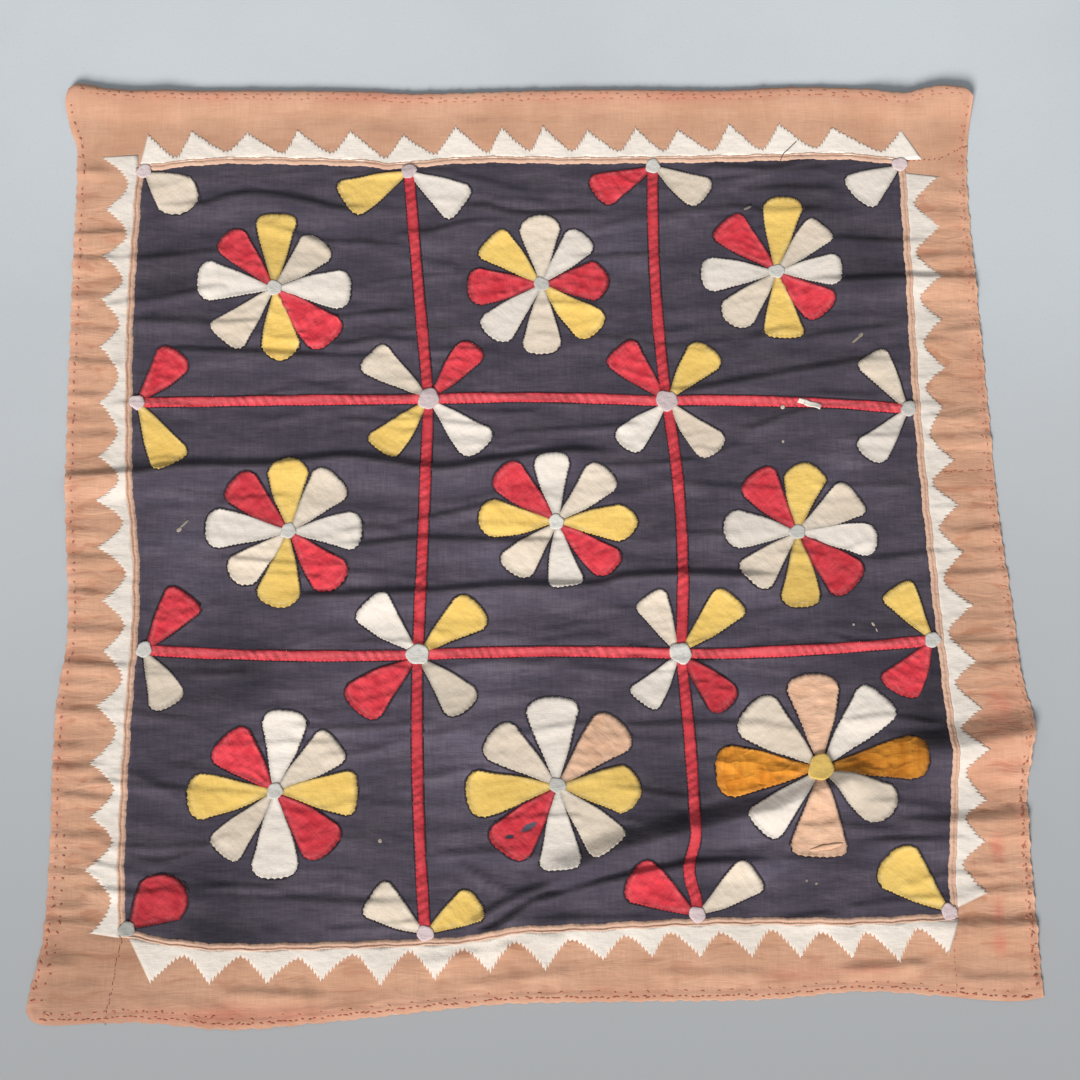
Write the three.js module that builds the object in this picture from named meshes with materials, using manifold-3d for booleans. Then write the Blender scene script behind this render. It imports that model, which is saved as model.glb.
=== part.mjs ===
// A square applique panel of hand-sewn cotton, lying face up on a floor.
// A dark ground is divided by red tapes into nine squares with a flower in each. A narrow edging,
// a white saw-tooth strip and a hemmed border run round it.
// Millimetres, +Z up, +Y towards the top edge, origin under the middle of the panel.

import * as THREE from 'three';
import { mergeVertices } from 'three/addons/utils/BufferGeometryUtils.js';
import Module from 'manifold-3d';

// Driving dimensions
const CLOTH = 1.5; // thickness of the ground and the border
const PATCH = 1; // thickness of an applied piece
const GAP = 0.3; // air between neighbouring pieces
const SEAM_OUT = 3; // how far the ground runs on under the edging
const EDGING_WIDTH = 6.5;
const EDGING_LAP = 0.5; // how far the edging laps on to the ground
const EDGING_CORNER = 10; // where an edging strip stops short of the corner of the ground
const TAPE_WIDTH = 11;
const TAPE_STEPS = 4;
const TOOTH_VALLEY = 15; // from the edge of the ground to the valley between two teeth
const PETAL_NECK = 2.6; // half the width of a petal where it runs under its disc
const TIP_STEPS = 5;
const DISC_SIDES = 12;
const SIDE_DETAIL = 2; // points of an outline for each row of its table
const STRIP_STEP = 65; // from one point to the next along an edging or tooth strip
const MESH_COLUMNS = 15; // facets of the cloth, across and along
const MESH_ROWS = 48;
const MESH_SIZE = 1000;
const FOLD_MERGE = 3; // power that merges folds where they meet, so that their heights don't add up
const TALL = 60; // height of the prisms that cut the pieces out of the cloth

const COLOURS = {
  indigo: 0x4a434f,
  peach: 0xd6a184,
  edging: 0xe4b79c,
  white: 0xf0e6da,
  red: 0xd24a56,
  yellow: 0xeac565,
  ecru: 0xd8c6a8,
  orange: 0xdc9840,
};

// Turns rows of numbers into rows with named columns.
function table(columns, ...rows) {
  const names = columns.split(' ');
  return rows.map((row) => Object.fromEntries(names.map((name, i) => [name, row[i]])));
}

// The hem, side by side. Top and bottom run from left to right, the other two from top to bottom.
const HEM = {
  top: table('x y', [-478, 481], [-466, 488], [-420, 479], [-310, 477], [-170, 474], [-110, 470],
    [60, 472], [200, 469], [280, 472], [350, 468], [388, 461], [429, 469], [456, 466], [464, 457]),
  right: table('x y', [464, 457], [455, 400], [452, 340], [455, 221], [458, 117], [461, 0],
    [468, -86], [472, -155], [481, -205], [475, -245], [469, -290], [470, -404], [472, -470]),
  bottom: table('x y', [-481, -470], [-462, -482], [-376, -480], [-290, -488], [-204, -483],
    [-82, -472], [-20, -468], [110, -468], [212, -468], [298, -462], [362, -466], [437, -473],
    [472, -470]),
  left: table('x y', [-478, 481], [-481, 466], [-475, 437], [-466, 400], [-466, 273], [-465, 83],
    [-462, 0], [-457, -70], [-457, -118], [-465, -190], [-465, -325], [-468, -401], [-479, -454],
    [-481, -470]),
};

// The visible edge of the ground, in the same order.
const GROUND = {
  top: table('x y', [-398, 388], [-309, 395], [-174, 390], [-138, 386], [-55, 392], [64, 389],
    [199, 389], [317, 390], [383, 383]),
  right: table('x y', [383, 383], [383, 234], [383, 131], [385, 46], [391, -96], [396, -188],
    [399, -240], [395, -293], [390, -345], [389, -390]),
  bottom: table('x y', [-390, -394], [-335, -405], [-270, -409], [-125, -407], [-60, -404],
    [-20, -397], [48, -395], [171, -391], [290, -393], [389, -390]),
  left: table('x y', [-398, 388], [-402, 260], [-402, 180], [-398, 58], [-389, -25], [-387, -96],
    [-391, -192], [-393, -315], [-390, -394]),
};

// Which way each side runs, and which way it faces.
const RUN = {
  top: { along: new THREE.Vector2(1, 0), out: new THREE.Vector2(0, 1) },
  right: { along: new THREE.Vector2(0, -1), out: new THREE.Vector2(1, 0) },
  bottom: { along: new THREE.Vector2(1, 0), out: new THREE.Vector2(0, -1) },
  left: { along: new THREE.Vector2(0, -1), out: new THREE.Vector2(-1, 0) },
};

// Teeth of the white strips: where a strip starts and ends, how round its valleys are, where the first
// and the last valley lie between their tips, and the hand-cut tips with their reach from the ground.
const TEETH = {
  top: { start: -402, end: 408, roundness: 1.1, dips: [0.68, 0.68],
    tips: table('place reach', [-394, 44], [-349, 42], [-291, 38], [-239, 41], [-184, 42], [-129, 41],
      [-75, 45], [-27, 43], [16, 45], [62, 41], [112, 43], [156, 40], [209, 46], [261, 44], [316, 38],
      [387, 41]) },
  right: { start: -374, end: 386, roundness: 1.2, dips: [0.55, 0.42],
    tips: table('place reach', [-369, 42], [-314, 42], [-258, 40], [-211, 36], [-159, 37], [-117, 31],
      [-61, 38], [-14, 38], [35, 37], [89, 41], [146, 38], [193, 38], [235, 38], [283, 37], [323, 36],
      [371, 38]) },
  bottom: { start: -388, end: 397, roundness: 1.2, dips: [0.54, 0.37],
    tips: table('place reach', [-365, 46], [-310, 40], [-256, 39], [-205, 38], [-149, 45], [-98, 41],
      [-46, 39], [6, 44], [61, 36], [107, 36], [152, 38], [201, 39], [246, 39], [295, 40], [339, 45],
      [385, 41]) },
  left: { start: -407, end: 402, roundness: 1.4, dips: [0.56, 0.47],
    tips: table('place reach', [-405, 46], [-346, 37], [-294, 37], [-246, 38], [-195, 35], [-135, 34],
      [-78, 36], [-32, 40], [17, 43], [72, 39], [122, 35], [177, 38], [234, 40], [286, 37], [337, 40],
      [397, 35]) },
};

// Seams that part the border into its strips.
const BORDER_SEAMS = table('x0 y0 x1 y1',
  [-520, 417, -392, 389],
  [378, 384, 520, 418],
  [380, 47, 520, 53],
  [-392, -390, -413, -520],
  [392, -385, 390, -520]);

// A point inside each border strip, by which it is told apart.
const BORDER_STRIPS = table('name x y',
  ['border_top', 0, 440],
  ['border_left', -430, 0],
  ['border_right_upper', 420, 200],
  ['border_right_lower', 430, -200],
  ['border_bottom', 0, -440]);

// Tips of petals: the share of the reach at which a tip starts, and the bend of its curve. A bend of 1
// is an arc, a larger one is more pointed and a smaller one more blunt.
const TIPS = {
  bulb: { start: 0.6, bend: 1 },
  point: { start: 0.76, bend: 1.25 },
  round: { start: 0.78, bend: 1 },
  full: { start: 0.82, bend: 0.8 },
  blunt: { start: 0.86, bend: 0.62 },
};

// Petals: the bearing in degrees clockwise from the top edge, the reach, half the width on either side
// and the form of the tip.
function petalRows(...rows) {
  return table('bearing reach left right tip', ...rows);
}

// Rosettes: middle, radius of the disc, main colour and petals.
const ROSETTES = table('name x y disc colour petals',
  ['flower_1', -260, 256, 8, 'yellow', petalRows(
    [2, 82, 23, 20, 'blunt'], [43, 71, 18, 22, 'full'], [92, 79, 22, 22, 'full'],
    [134, 85, 22, 23, 'full'], [174, 82, 21, 20, 'point'], [221, 77, 20, 24, 'blunt'],
    [273, 80, 16, 28, 'full'], [318, 80, 16, 20, 'full'])],
  ['flower_2', 12, 256, 8, 'ecru', petalRows(
    [359, 76, 21, 22, 'round'], [43, 71, 20, 16, 'full'], [87, 70, 22, 22, 'point'],
    [134, 78, 21, 19, 'full'], [179, 77, 18, 22, 'full'], [223, 78, 18, 22, 'full'],
    [268, 76, 21, 21, 'full'], [315, 74, 23, 18, 'blunt'])],
  ['flower_3', 252, 266, 8, 'yellow', petalRows(
    [2, 84, 14, 28, 'full'], [44, 72, 16, 19, 'blunt'], [91, 68, 21, 16, 'full'],
    [137, 67, 26, 16, 'full'], [181, 74, 27, 15, 'blunt'], [217, 76, 14, 26, 'round'],
    [269, 78, 20, 19, 'full'], [319, 77, 24, 17, 'blunt'])],
  ['flower_4', -242, -3, 8, 'yellow', petalRows(
    [0, 78, 22, 20, 'point'], [44, 74, 26, 18, 'full'], [91, 74, 21, 20, 'full'],
    [136, 78, 19, 24, 'round'], [185, 80, 20, 25, 'round'], [225, 74, 16, 22, 'round'],
    [271, 83, 18, 24, 'full'], [313, 78, 20, 20, 'full'])],
  ['flower_5', 23, 2, 8, 'white', petalRows(
    [357, 72, 19, 18, 'full'], [44, 76, 18, 21, 'full'], [91, 82, 20, 20, 'point'],
    [134, 76, 22, 14, 'full'], [172, 69, 18, 18, 'blunt'], [217, 69, 13, 25, 'full'],
    [272, 78, 18, 23, 'round'], [313, 79, 17, 21, 'full'])],
  ['flower_6', 261, -12, 8, 'yellow', petalRows(
    [6, 74, 18, 26, 'point'], [53, 72, 15, 27, 'blunt'], [96, 80, 16, 19, 'full'],
    [133, 79, 20, 26, 'full'], [179, 78, 20, 20, 'full'], [225, 71, 20, 21, 'full'],
    [272, 74, 18, 23, 'round'], [320, 75, 16, 28, 'full'])],
  ['flower_7', -251, -264, 8, 'white', petalRows(
    [6, 81, 21, 24, 'full'], [51, 77, 20, 21, 'blunt'], [92, 80, 22, 23, 'blunt'],
    [136, 80, 22, 24, 'full'], [179, 85, 23, 23, 'full'], [221, 79, 18, 19, 'blunt'],
    [266, 85, 22, 24, 'full'], [316, 75, 23, 25, 'full'])],
  ['flower_8', 20, -262, 8, 'white', petalRows(
    [358, 88, 27, 25, 'full'], [47, 88, 26, 23, 'full'], [95, 82, 25, 24, 'point'],
    [141, 82, 23, 20, 'blunt'], [179, 84, 21, 20, 'blunt'], [219, 85, 22, 26, 'full'],
    [263, 89, 22, 25, 'full'], [309, 83, 22, 22, 'full'])],
  ['flower_9', 273, -249, 13, 'orange', petalRows(
    [359, 94, 28, 24, 'full'], [42, 96, 23, 24, 'blunt'], [90, 105, 31, 13, 'full'],
    [129, 81, 30, 15, 'round'], [182, 87, 26, 30, 'blunt'], [223, 86, 15, 25, 'blunt'],
    [269, 102, 26, 26, 'full'], [313, 92, 29, 24, 'full'])],
  ['crossing_1', -103, 133, 11, 'red', petalRows(
    [39, 76, 15, 17, 'full'], [139, 77, 26, 15, 'full'], [217, 73, 12, 26, 'blunt'],
    [313, 78, 24, 14, 'blunt'])],
  ['crossing_2', 136, 127, 11, 'white', petalRows(
    [39, 74, 20, 20, 'full'], [139, 74, 19, 17, 'full'], [221, 66, 14, 20, 'full'],
    [320, 76, 20, 20, 'blunt'])],
  ['crossing_3', -114, -131, 11, 'yellow', petalRows(
    [47, 78, 17, 26, 'full'], [140, 74, 22, 18, 'full'], [225, 82, 18, 29, 'full'],
    [317, 74, 21, 20, 'blunt'])],
  ['crossing_4', 142, -134, 11, 'ecru', petalRows(
    [41, 79, 15, 24, 'blunt'], [137, 71, 16, 20, 'full'], [218, 63, 16, 19, 'blunt'],
    [326, 67, 10, 25, 'blunt'])],
  ['end_top_1', -123, 383, 8, 'yellow', petalRows(
    [124, 69, 22, 23, 'blunt'], [240, 75, 18, 28, 'blunt'])],
  ['end_top_2', 129, 385, 8, 'red', petalRows([126, 65, 23, 16, 'full'], [235, 68, 11, 29, 'full'])],
  ['end_right_1', 378, 115, 8, 'ecru', petalRows([220, 68, 16, 20, 'full'], [327, 70, 17, 20, 'blunt'])],
  ['end_right_2', 388, -124, 8, 'red', petalRows([210, 65, 15, 28, 'full'], [327, 65, 18, 19, 'blunt'])],
  ['end_bottom_1', -107, -402, 8, 'ecru', petalRows(
    [56, 60, 16, 21, 'full'], [303, 64, 18, 23, 'blunt'])],
  ['end_bottom_2', 150, -388, 8, 'red', petalRows([54, 70, 17, 20, 'blunt'], [301, 74, 22, 24, 'full'])],
  ['end_left_1', -396, 134, 8, 'red', petalRows([40, 68, 23, 18, 'full'], [148, 77, 18, 23, 'blunt'])],
  ['end_left_2', -381, -122, 8, 'red', petalRows([38, 70, 23, 20, 'blunt'], [152, 64, 17, 21, 'full'])],
  ['corner_top_left', -397, 388, 8, 'ecru', petalRows([131, 68, 27, 22, 'bulb'])],
  ['corner_top_right', 384, 383, 8, 'ecru', petalRows([229, 60, 18, 28, 'full'])],
  ['corner_bottom_left', -389, -394, 8, 'red', petalRows([43, 68, 22, 32, 'bulb'])],
  ['corner_bottom_right', 388, -389, 8, 'yellow', petalRows([313, 79, 26, 26, 'round'])]);

// Tape runs between two rosettes, and how far each bows to the left of its run at mid length.
const TAPES = table('name from to bow',
  ['tape_across_1', 'end_left_1', 'crossing_1', 2],
  ['tape_across_2', 'crossing_1', 'crossing_2', 6],
  ['tape_across_3', 'crossing_2', 'end_right_1', 4],
  ['tape_across_4', 'end_left_2', 'crossing_3', -1],
  ['tape_across_5', 'crossing_3', 'crossing_4', 5],
  ['tape_across_6', 'crossing_4', 'end_right_2', -2],
  ['tape_down_1', 'end_top_1', 'crossing_1', 0],
  ['tape_down_2', 'crossing_1', 'crossing_3', 1],
  ['tape_down_3', 'crossing_3', 'end_bottom_1', -1],
  ['tape_down_4', 'end_top_2', 'crossing_2', -4],
  ['tape_down_5', 'crossing_2', 'crossing_4', 6],
  ['tape_down_6', 'crossing_4', 'end_bottom_2', 2]);

// Folds that lift the cloth off the floor. Each crest runs between two points with a sideways bow, and
// falls off over a steep width on its left and a gentle width on its right.
const FOLDS = table('x0 y0 x1 y1 bow steep gentle height',
  [-335, 344, -200, 336, 12, 20, 38, 4],
  [-100, 312, 50, 326, 8, 20, 36, 4],
  [-343, 182, -130, 184, -8, 20, 36, 4],
  [-470, 50, -110, 56, 8, 20, 40, 7],
  [-110, 55, 60, 68, 0, 20, 38, 5],
  [-165, -26, 0, -26, 3, 20, 34, 4],
  [-200, -78, 205, -66, 0, 20, 38, 6],
  [160, 129, 330, 160, 0, 20, 36, 4],
  [320, 250, 460, 246, 0, 20, 36, 5],
  [-40, -412, 100, -342, 4, 24, 48, 9],
  [100, -342, 300, -288, 0, 26, 56, 9],
  [300, -328, 392, -326, 4, 20, 36, 5],
  [380, -228, 484, -216, 0, 30, 46, 12],
  [385, -308, 472, -304, 0, 20, 36, 6],
  [390, -407, 472, -406, 0, 20, 32, 4],
  [-470, 484, -380, 478, -3, 20, 34, 7],
  [-380, 478, 380, 468, 0, 20, 28, 4],
  [380, 464, 460, 462, 4, 20, 40, 9],
  [-478, 316, -420, 312, 0, 18, 24, 3],
  [-470, -132, -415, -136, 0, 18, 28, 4],
  [-472, -248, -420, -252, 0, 18, 26, 3]);

const wasm = await Module();
wasm.setup();

// How high the underside of the cloth stands over the floor.
function lift(x, y) {
  let sum = 0;
  for (const fold of FOLDS) {
    const run = new THREE.Vector2(fold.x1 - fold.x0, fold.y1 - fold.y0);
    const length = run.length();
    run.divideScalar(length);
    const offset = new THREE.Vector2(x - fold.x0, y - fold.y0);
    const along = offset.dot(run);
    const share = THREE.MathUtils.clamp(along / length, 0, 1);
    const side = run.cross(offset) - fold.bow * Math.sin(Math.PI * share);
    const past = along - share * length;
    const across = side / (side > 0 ? fold.steep : fold.gentle);
    const distance = Math.hypot(across, past / fold.gentle);
    if (distance < 1) sum += (fold.height * 0.5 * (1 + Math.cos(Math.PI * distance))) ** FOLD_MERGE;
  }
  return sum ** (1 / FOLD_MERGE);
}

// A closed geometry as a solid that can be joined and cut.
function solidOf(geometry) {
  const bare = geometry.clone();
  bare.deleteAttribute('normal');
  bare.deleteAttribute('uv');
  const merged = mergeVertices(bare);
  const vertProperties = new Float32Array(merged.attributes.position.array);
  const triVerts = new Uint32Array(merged.index.array);
  return new wasm.Manifold(new wasm.Mesh({ numProp: 3, vertProperties, triVerts }));
}

// A block that fills the room below the folded cloth, up to a level measured from its underside.
function blockBelow(level) {
  const block = new THREE.BoxGeometry(MESH_SIZE, MESH_SIZE, TALL, MESH_COLUMNS, MESH_ROWS, 1);
  const points = block.attributes.position;
  for (let i = 0; i < points.count; i += 1) {
    const top = points.getZ(i) > 0;
    points.setZ(i, top ? lift(points.getX(i), points.getY(i)) + level : -TALL);
  }
  return solidOf(block);
}

// A layer of folded cloth between two levels.
function layer(from, to) {
  return blockBelow(to).subtract(blockBelow(from));
}

// An upright prism on a closed outline.
function prism(points) {
  const shape = new THREE.Shape(points);
  const geometry = new THREE.ExtrudeGeometry(shape, { depth: TALL, bevelEnabled: false });
  geometry.translate(0, 0, -TALL / 2);
  return solidOf(geometry);
}

// A point on a side of an outline, at a share of its length, moved outwards. The corners stay mitred.
function sidePoint(outline, side, share, out) {
  const curve = new THREE.SplineCurve(outline[side].map((row) => new THREE.Vector2(row.x, row.y)));
  const { along, out: facing } = RUN[side];
  return curve.getPoint(share)
    .addScaledVector(facing, out)
    .addScaledVector(along, out * (2 * share - 1));
}

// Points along a side, from corner to corner.
function sidePoints(outline, side, out) {
  const steps = SIDE_DETAIL * (outline[side].length - 1);
  return Array.from({ length: steps + 1 }, (_, i) => sidePoint(outline, side, i / steps, out));
}

// The closed outline of the hem or the ground.
function ring(outline, out) {
  const sides = [
    sidePoints(outline, 'top', out),
    sidePoints(outline, 'right', out),
    sidePoints(outline, 'bottom', out).reverse(),
    sidePoints(outline, 'left', out).reverse(),
  ];
  return sides.flatMap((points) => points.slice(0, -1));
}

// The share along a side of the ground at which a place in the direction of its run is reached.
function shareAt(side, place) {
  const { along } = RUN[side];
  const ends = [GROUND[side][0], GROUND[side].at(-1)].map((row) => row.x * along.x + row.y * along.y);
  let low = 0;
  let high = 1;
  if (place <= ends[0] || place >= ends[1]) return (place - ends[0]) / (ends[1] - ends[0]);
  while (high - low > 1e-5) {
    const middle = (low + high) / 2;
    if (sidePoint(GROUND, side, middle, 0).dot(along) < place) low = middle;
    else high = middle;
  }
  return low;
}

// A point by its place along a side of the ground and its distance out from it.
function beside(side, place, out) {
  const share = THREE.MathUtils.clamp(shareAt(side, place), 0, 1);
  const { along, out: facing } = RUN[side];
  const edge = sidePoint(GROUND, side, share, 0);
  return edge.addScaledVector(along, place - edge.dot(along)).addScaledVector(facing, out);
}

// Where an edging strip starts and ends along its side.
function edgingEnds(side) {
  const { along } = RUN[side];
  const [from, to] = [GROUND[side][0], GROUND[side].at(-1)].map((row) => row.x * along.x + row.y * along.y);
  return [from + EDGING_CORNER, to - EDGING_CORNER];
}

// A line along a side of the ground between two places. All such lines share their inner points, so
// that two of them keep an even distance.
function lineBeside(side, start, end, out) {
  const places = [start, end, ...edgingEnds(side)];
  for (let i = Math.ceil(start / STRIP_STEP); i * STRIP_STEP < end; i += 1) places.push(i * STRIP_STEP);
  return places
    .filter((place) => place >= start && place <= end)
    .sort((a, b) => a - b)
    .filter((place, i, all) => place !== all[i - 1])
    .map((place) => beside(side, place, out));
}

// The white strip of one side, with its teeth.
function toothStrip(side) {
  const { start, end, roundness, dips, tips } = TEETH[side];
  const points = lineBeside(side, start, end, EDGING_WIDTH + GAP).reverse();
  points.push(beside(side, tips[0].place, tips[0].reach));
  tips.slice(1).forEach((next, i) => {
    const last = tips[i];
    const share = THREE.MathUtils.lerp(...dips, i / (tips.length - 2));
    const dip = THREE.MathUtils.lerp(last.place, next.place, share);
    for (const u of [-0.5, 0, 0.5, 1]) {
      const tip = u < 0 ? last : next;
      const place = THREE.MathUtils.lerp(dip, tip.place, Math.abs(u));
      const out = THREE.MathUtils.lerp(TOOTH_VALLEY, tip.reach, Math.abs(u) ** roundness);
      points.push(beside(side, place, out));
    }
  });
  return prism(points);
}

// The edging of one side, short of the corners.
function edgingStrip(side) {
  const [start, end] = edgingEnds(side);
  return prism([
    ...lineBeside(side, start, end, -EDGING_LAP),
    ...lineBeside(side, start, end, EDGING_WIDTH).reverse(),
  ]);
}

// A petal with straight sides, pointing along its bearing, grown all round by a margin.
function petal(rosette, { bearing, reach, left, right, tip }, margin) {
  const { start, bend } = TIPS[tip];
  const middle = (right - left) / 2;
  const half = (left + right) / 2 + margin;
  const neck = PETAL_NECK + margin;
  const points = [new THREE.Vector2(-neck, rosette.disc / 2), new THREE.Vector2(neck, rosette.disc / 2)];
  for (let i = 0; i <= TIP_STEPS; i += 1) {
    const angle = (Math.PI * i) / TIP_STEPS;
    const aside = Math.sign(Math.cos(angle)) * Math.abs(Math.cos(angle)) ** bend;
    const ahead = start + (1 - start) * Math.abs(Math.sin(angle)) ** bend;
    points.push(new THREE.Vector2(middle + half * aside, (reach + margin) * ahead));
  }
  const turn = -THREE.MathUtils.degToRad(bearing);
  const centre = new THREE.Vector2(rosette.x, rosette.y);
  return prism(points.map((point) => point.rotateAround(new THREE.Vector2(), turn).add(centre)));
}

// A disc with its petals, grown all round by a margin.
function rosetteOutline(rosette, margin = 0) {
  const circle = new THREE.Path().absarc(rosette.x, rosette.y, rosette.disc + margin, 0, 2 * Math.PI);
  const disc = prism(circle.getPoints(DISC_SIDES).slice(0, -1));
  return rosette.petals.reduce((joined, row) => joined.add(petal(rosette, row, margin)), disc);
}

// A tape run from the middle of one rosette to the middle of the next.
function tapeRun({ from, to, bow }) {
  const [start, end] = [from, to].map((name) => {
    const { x, y } = ROSETTES.find((rosette) => rosette.name === name);
    return new THREE.Vector2(x, y);
  });
  const left = end.clone().sub(start).normalize().rotateAround(new THREE.Vector2(), Math.PI / 2);
  const control = start.clone().lerp(end, 0.5).addScaledVector(left, 2 * bow);
  const line = new THREE.QuadraticBezierCurve(start, control, end).getPoints(TAPE_STEPS);
  const edge = (out) => line.map((point) => point.clone().addScaledVector(left, out));
  return prism([...edge(-TAPE_WIDTH / 2), ...edge(TAPE_WIDTH / 2).reverse()]);
}

const panel = new THREE.Group();

// Puts a solid into the panel as a named piece.
function addPiece(name, solid, colour) {
  const { vertProperties, triVerts } = solid.getMesh();
  const geometry = new THREE.BufferGeometry();
  geometry.setAttribute('position', new THREE.BufferAttribute(vertProperties, 3));
  geometry.setIndex(new THREE.BufferAttribute(triVerts, 1));
  geometry.computeVertexNormals();
  const material = new THREE.MeshStandardMaterial({
    color: COLOURS[colour], roughness: 0.9, metalness: 0,
  });
  const mesh = new THREE.Mesh(geometry, material);
  mesh.name = name;
  panel.add(mesh);
}

const clothLayer = layer(0, CLOTH);
const patchLayer = layer(CLOTH + GAP, CLOTH + GAP + PATCH);

// Ground
addPiece('ground', clothLayer.intersect(prism(ring(GROUND, SEAM_OUT))), 'indigo');

// Border strips, parted from the ground and from each other
const hole = prism(ring(GROUND, SEAM_OUT + GAP));
let border = clothLayer.intersect(prism(ring(HEM, 0))).subtract(hole);
for (const { x0, y0, x1, y1 } of BORDER_SEAMS) {
  const slot = new THREE.BoxGeometry(Math.hypot(x1 - x0, y1 - y0), GAP, TALL);
  slot.rotateZ(Math.atan2(y1 - y0, x1 - x0));
  slot.translate((x0 + x1) / 2, (y0 + y1) / 2, 0);
  border = border.subtract(solidOf(slot));
}
const strips = border.decompose();
for (const { name, x, y } of BORDER_STRIPS) {
  const probe = new THREE.BoxGeometry(GAP, GAP, TALL).translate(x, y, 0);
  const strip = strips.find((piece) => !piece.intersect(solidOf(probe)).isEmpty());
  addPiece(name, strip, 'peach');
}

// Saw-tooth strips and edging, notched by the discs of the rosettes
const grown = new Map(ROSETTES.map((rosette) => [rosette.name, rosetteOutline(rosette, GAP)]));
const notched = (strip) => [...grown.values()].reduce((rest, outline) => rest.subtract(outline), strip);
for (const side of Object.keys(RUN)) {
  addPiece(`teeth_${side}`, patchLayer.intersect(notched(toothStrip(side))), 'white');
  addPiece(`edging_${side}`, patchLayer.intersect(notched(edgingStrip(side))), 'edging');
}

// Tapes, which end at the discs
for (const tape of TAPES) {
  const run = tapeRun(tape).subtract(grown.get(tape.from)).subtract(grown.get(tape.to));
  addPiece(tape.name, patchLayer.intersect(run), 'red');
}

// Rosettes
for (const rosette of ROSETTES) {
  addPiece(rosette.name, patchLayer.intersect(rosetteOutline(rosette)), rosette.colour);
}

export default panel;
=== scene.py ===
# %% [markdown]
# # An applique panel, sewn piece by piece
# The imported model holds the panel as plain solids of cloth. In this notebook each solid is replaced by
# a finer piece with folds, stitches and threads. The order is the one in which such a panel is sewn:
# first the ground, then the border, the edging, the teeth, the tapes and at last the flowers.

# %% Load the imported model
import math
from collections import namedtuple

import bmesh
import bpy
import numpy as np
from mathutils import Matrix, Vector


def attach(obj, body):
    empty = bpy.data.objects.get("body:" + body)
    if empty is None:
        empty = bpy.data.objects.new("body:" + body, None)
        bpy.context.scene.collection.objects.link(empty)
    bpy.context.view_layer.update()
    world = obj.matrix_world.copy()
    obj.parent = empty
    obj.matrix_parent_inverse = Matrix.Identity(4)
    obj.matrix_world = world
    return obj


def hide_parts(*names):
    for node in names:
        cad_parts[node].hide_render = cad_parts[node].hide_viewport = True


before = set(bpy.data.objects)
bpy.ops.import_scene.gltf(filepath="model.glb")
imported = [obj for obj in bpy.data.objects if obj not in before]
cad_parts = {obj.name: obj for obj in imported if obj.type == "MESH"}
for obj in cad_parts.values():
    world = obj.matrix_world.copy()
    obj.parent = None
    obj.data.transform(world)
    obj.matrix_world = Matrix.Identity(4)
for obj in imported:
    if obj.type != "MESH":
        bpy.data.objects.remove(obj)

MM = 0.001
CHANCE = np.random.default_rng(11)
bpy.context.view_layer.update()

# %% [markdown]
# ## The point of view
# The panel lies on a floor and is seen from above its lower edge. A long lens keeps the far edge nearly
# as wide as the near one. Three axes at right angles make the camera's matrix, and a small roll tilts
# the picture the way a hand-held camera does.

# %% Camera
ELEVATION = math.radians(73.34)
ROLL = math.radians(-0.85)
DISTANCE = 2.471
TARGET = Vector((0.0067, -0.0155, 0))
LENS = 83.33
SENSOR = 36


def in_scene(name, data):
    """A new object with the given data, put into the scene."""
    made = bpy.data.objects.new(name, data)
    bpy.context.scene.collection.objects.link(made)
    return made


back = Vector((0, -math.cos(ELEVATION), math.sin(ELEVATION)))
right = Vector((1, 0, 0))
up = back.cross(right)
rolled_right = right * math.cos(ROLL) + up * math.sin(ROLL)
rolled_up = up * math.cos(ROLL) - right * math.sin(ROLL)
camera = in_scene("camera", bpy.data.cameras.new("camera"))
camera.data.lens = LENS
camera.data.sensor_width = SENSOR
camera.matrix_world = Matrix((rolled_right, rolled_up, back)).transposed().to_4x4()
camera.matrix_world.translation = TARGET + back * DISTANCE
bpy.context.scene.camera = camera
bpy.context.scene.view_settings.view_transform = "Standard"
print("camera stands at", [round(v, 3) for v in camera.matrix_world.translation])

# %% [markdown]
# ## The light
# Folds in cloth show by the light that grazes them. One far, broad lamp stands low in front of the
# panel, a little to the left, so that the far side of every fold falls into soft shade. It is a sun
# lamp with a wide disc: its light is as strong at the far edge as at the near one. An even sky fills
# the shade up again, as white studio walls do.

# %% Lamps and sky
LAMP_DISC = math.radians(22)
LAMP_STRENGTH = 4.15
LAMP_COLOUR = (1.0, 0.98, 0.95)
LIGHT_PATH = Vector((1.6, 5.0, -3.2))
SKY_COLOUR = (0.93, 0.97, 1.0, 1)
SKY_STRENGTH = 0.36

key = in_scene("key", bpy.data.lights.new("key", "SUN"))
key.data.angle = LAMP_DISC
key.data.energy = LAMP_STRENGTH
key.data.color = LAMP_COLOUR
key.rotation_euler = LIGHT_PATH.to_track_quat("-Z", "Y").to_euler()
world = bpy.data.worlds.new("sky")
world.use_nodes = True
sky = world.node_tree.nodes["Background"].inputs
sky["Color"].default_value = SKY_COLOUR
sky["Strength"].default_value = SKY_STRENGTH
bpy.context.scene.world = world
print("lamps:", [light.name for light in bpy.data.lights])

# %% [markdown]
# ## Nodes by name
# Every finish below is a small tree of nodes. A few helpers keep the trees readable: they start a
# material, add a node and plug its inputs, do a sum, mix two colours or make noise of a given grain.
# Colours are given in the values of a screen and turned into the linear ones that light adds up in.

# %% Node helpers
def rgb(red, green, blue):
    """A colour in screen values, as the linear colour that nodes work with."""
    share = np.array([red, green, blue]) / 255
    linear = np.where(share <= 0.04045, share / 12.92, ((share + 0.055) / 1.055) ** 2.4)
    return (*linear.tolist(), 1.0)


def new_finish(name):
    """A new material, with its tree of nodes and its shader."""
    material = bpy.data.materials.new(name)
    material.use_nodes = True
    return material, material.node_tree, material.node_tree.nodes["Principled BSDF"]


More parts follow.
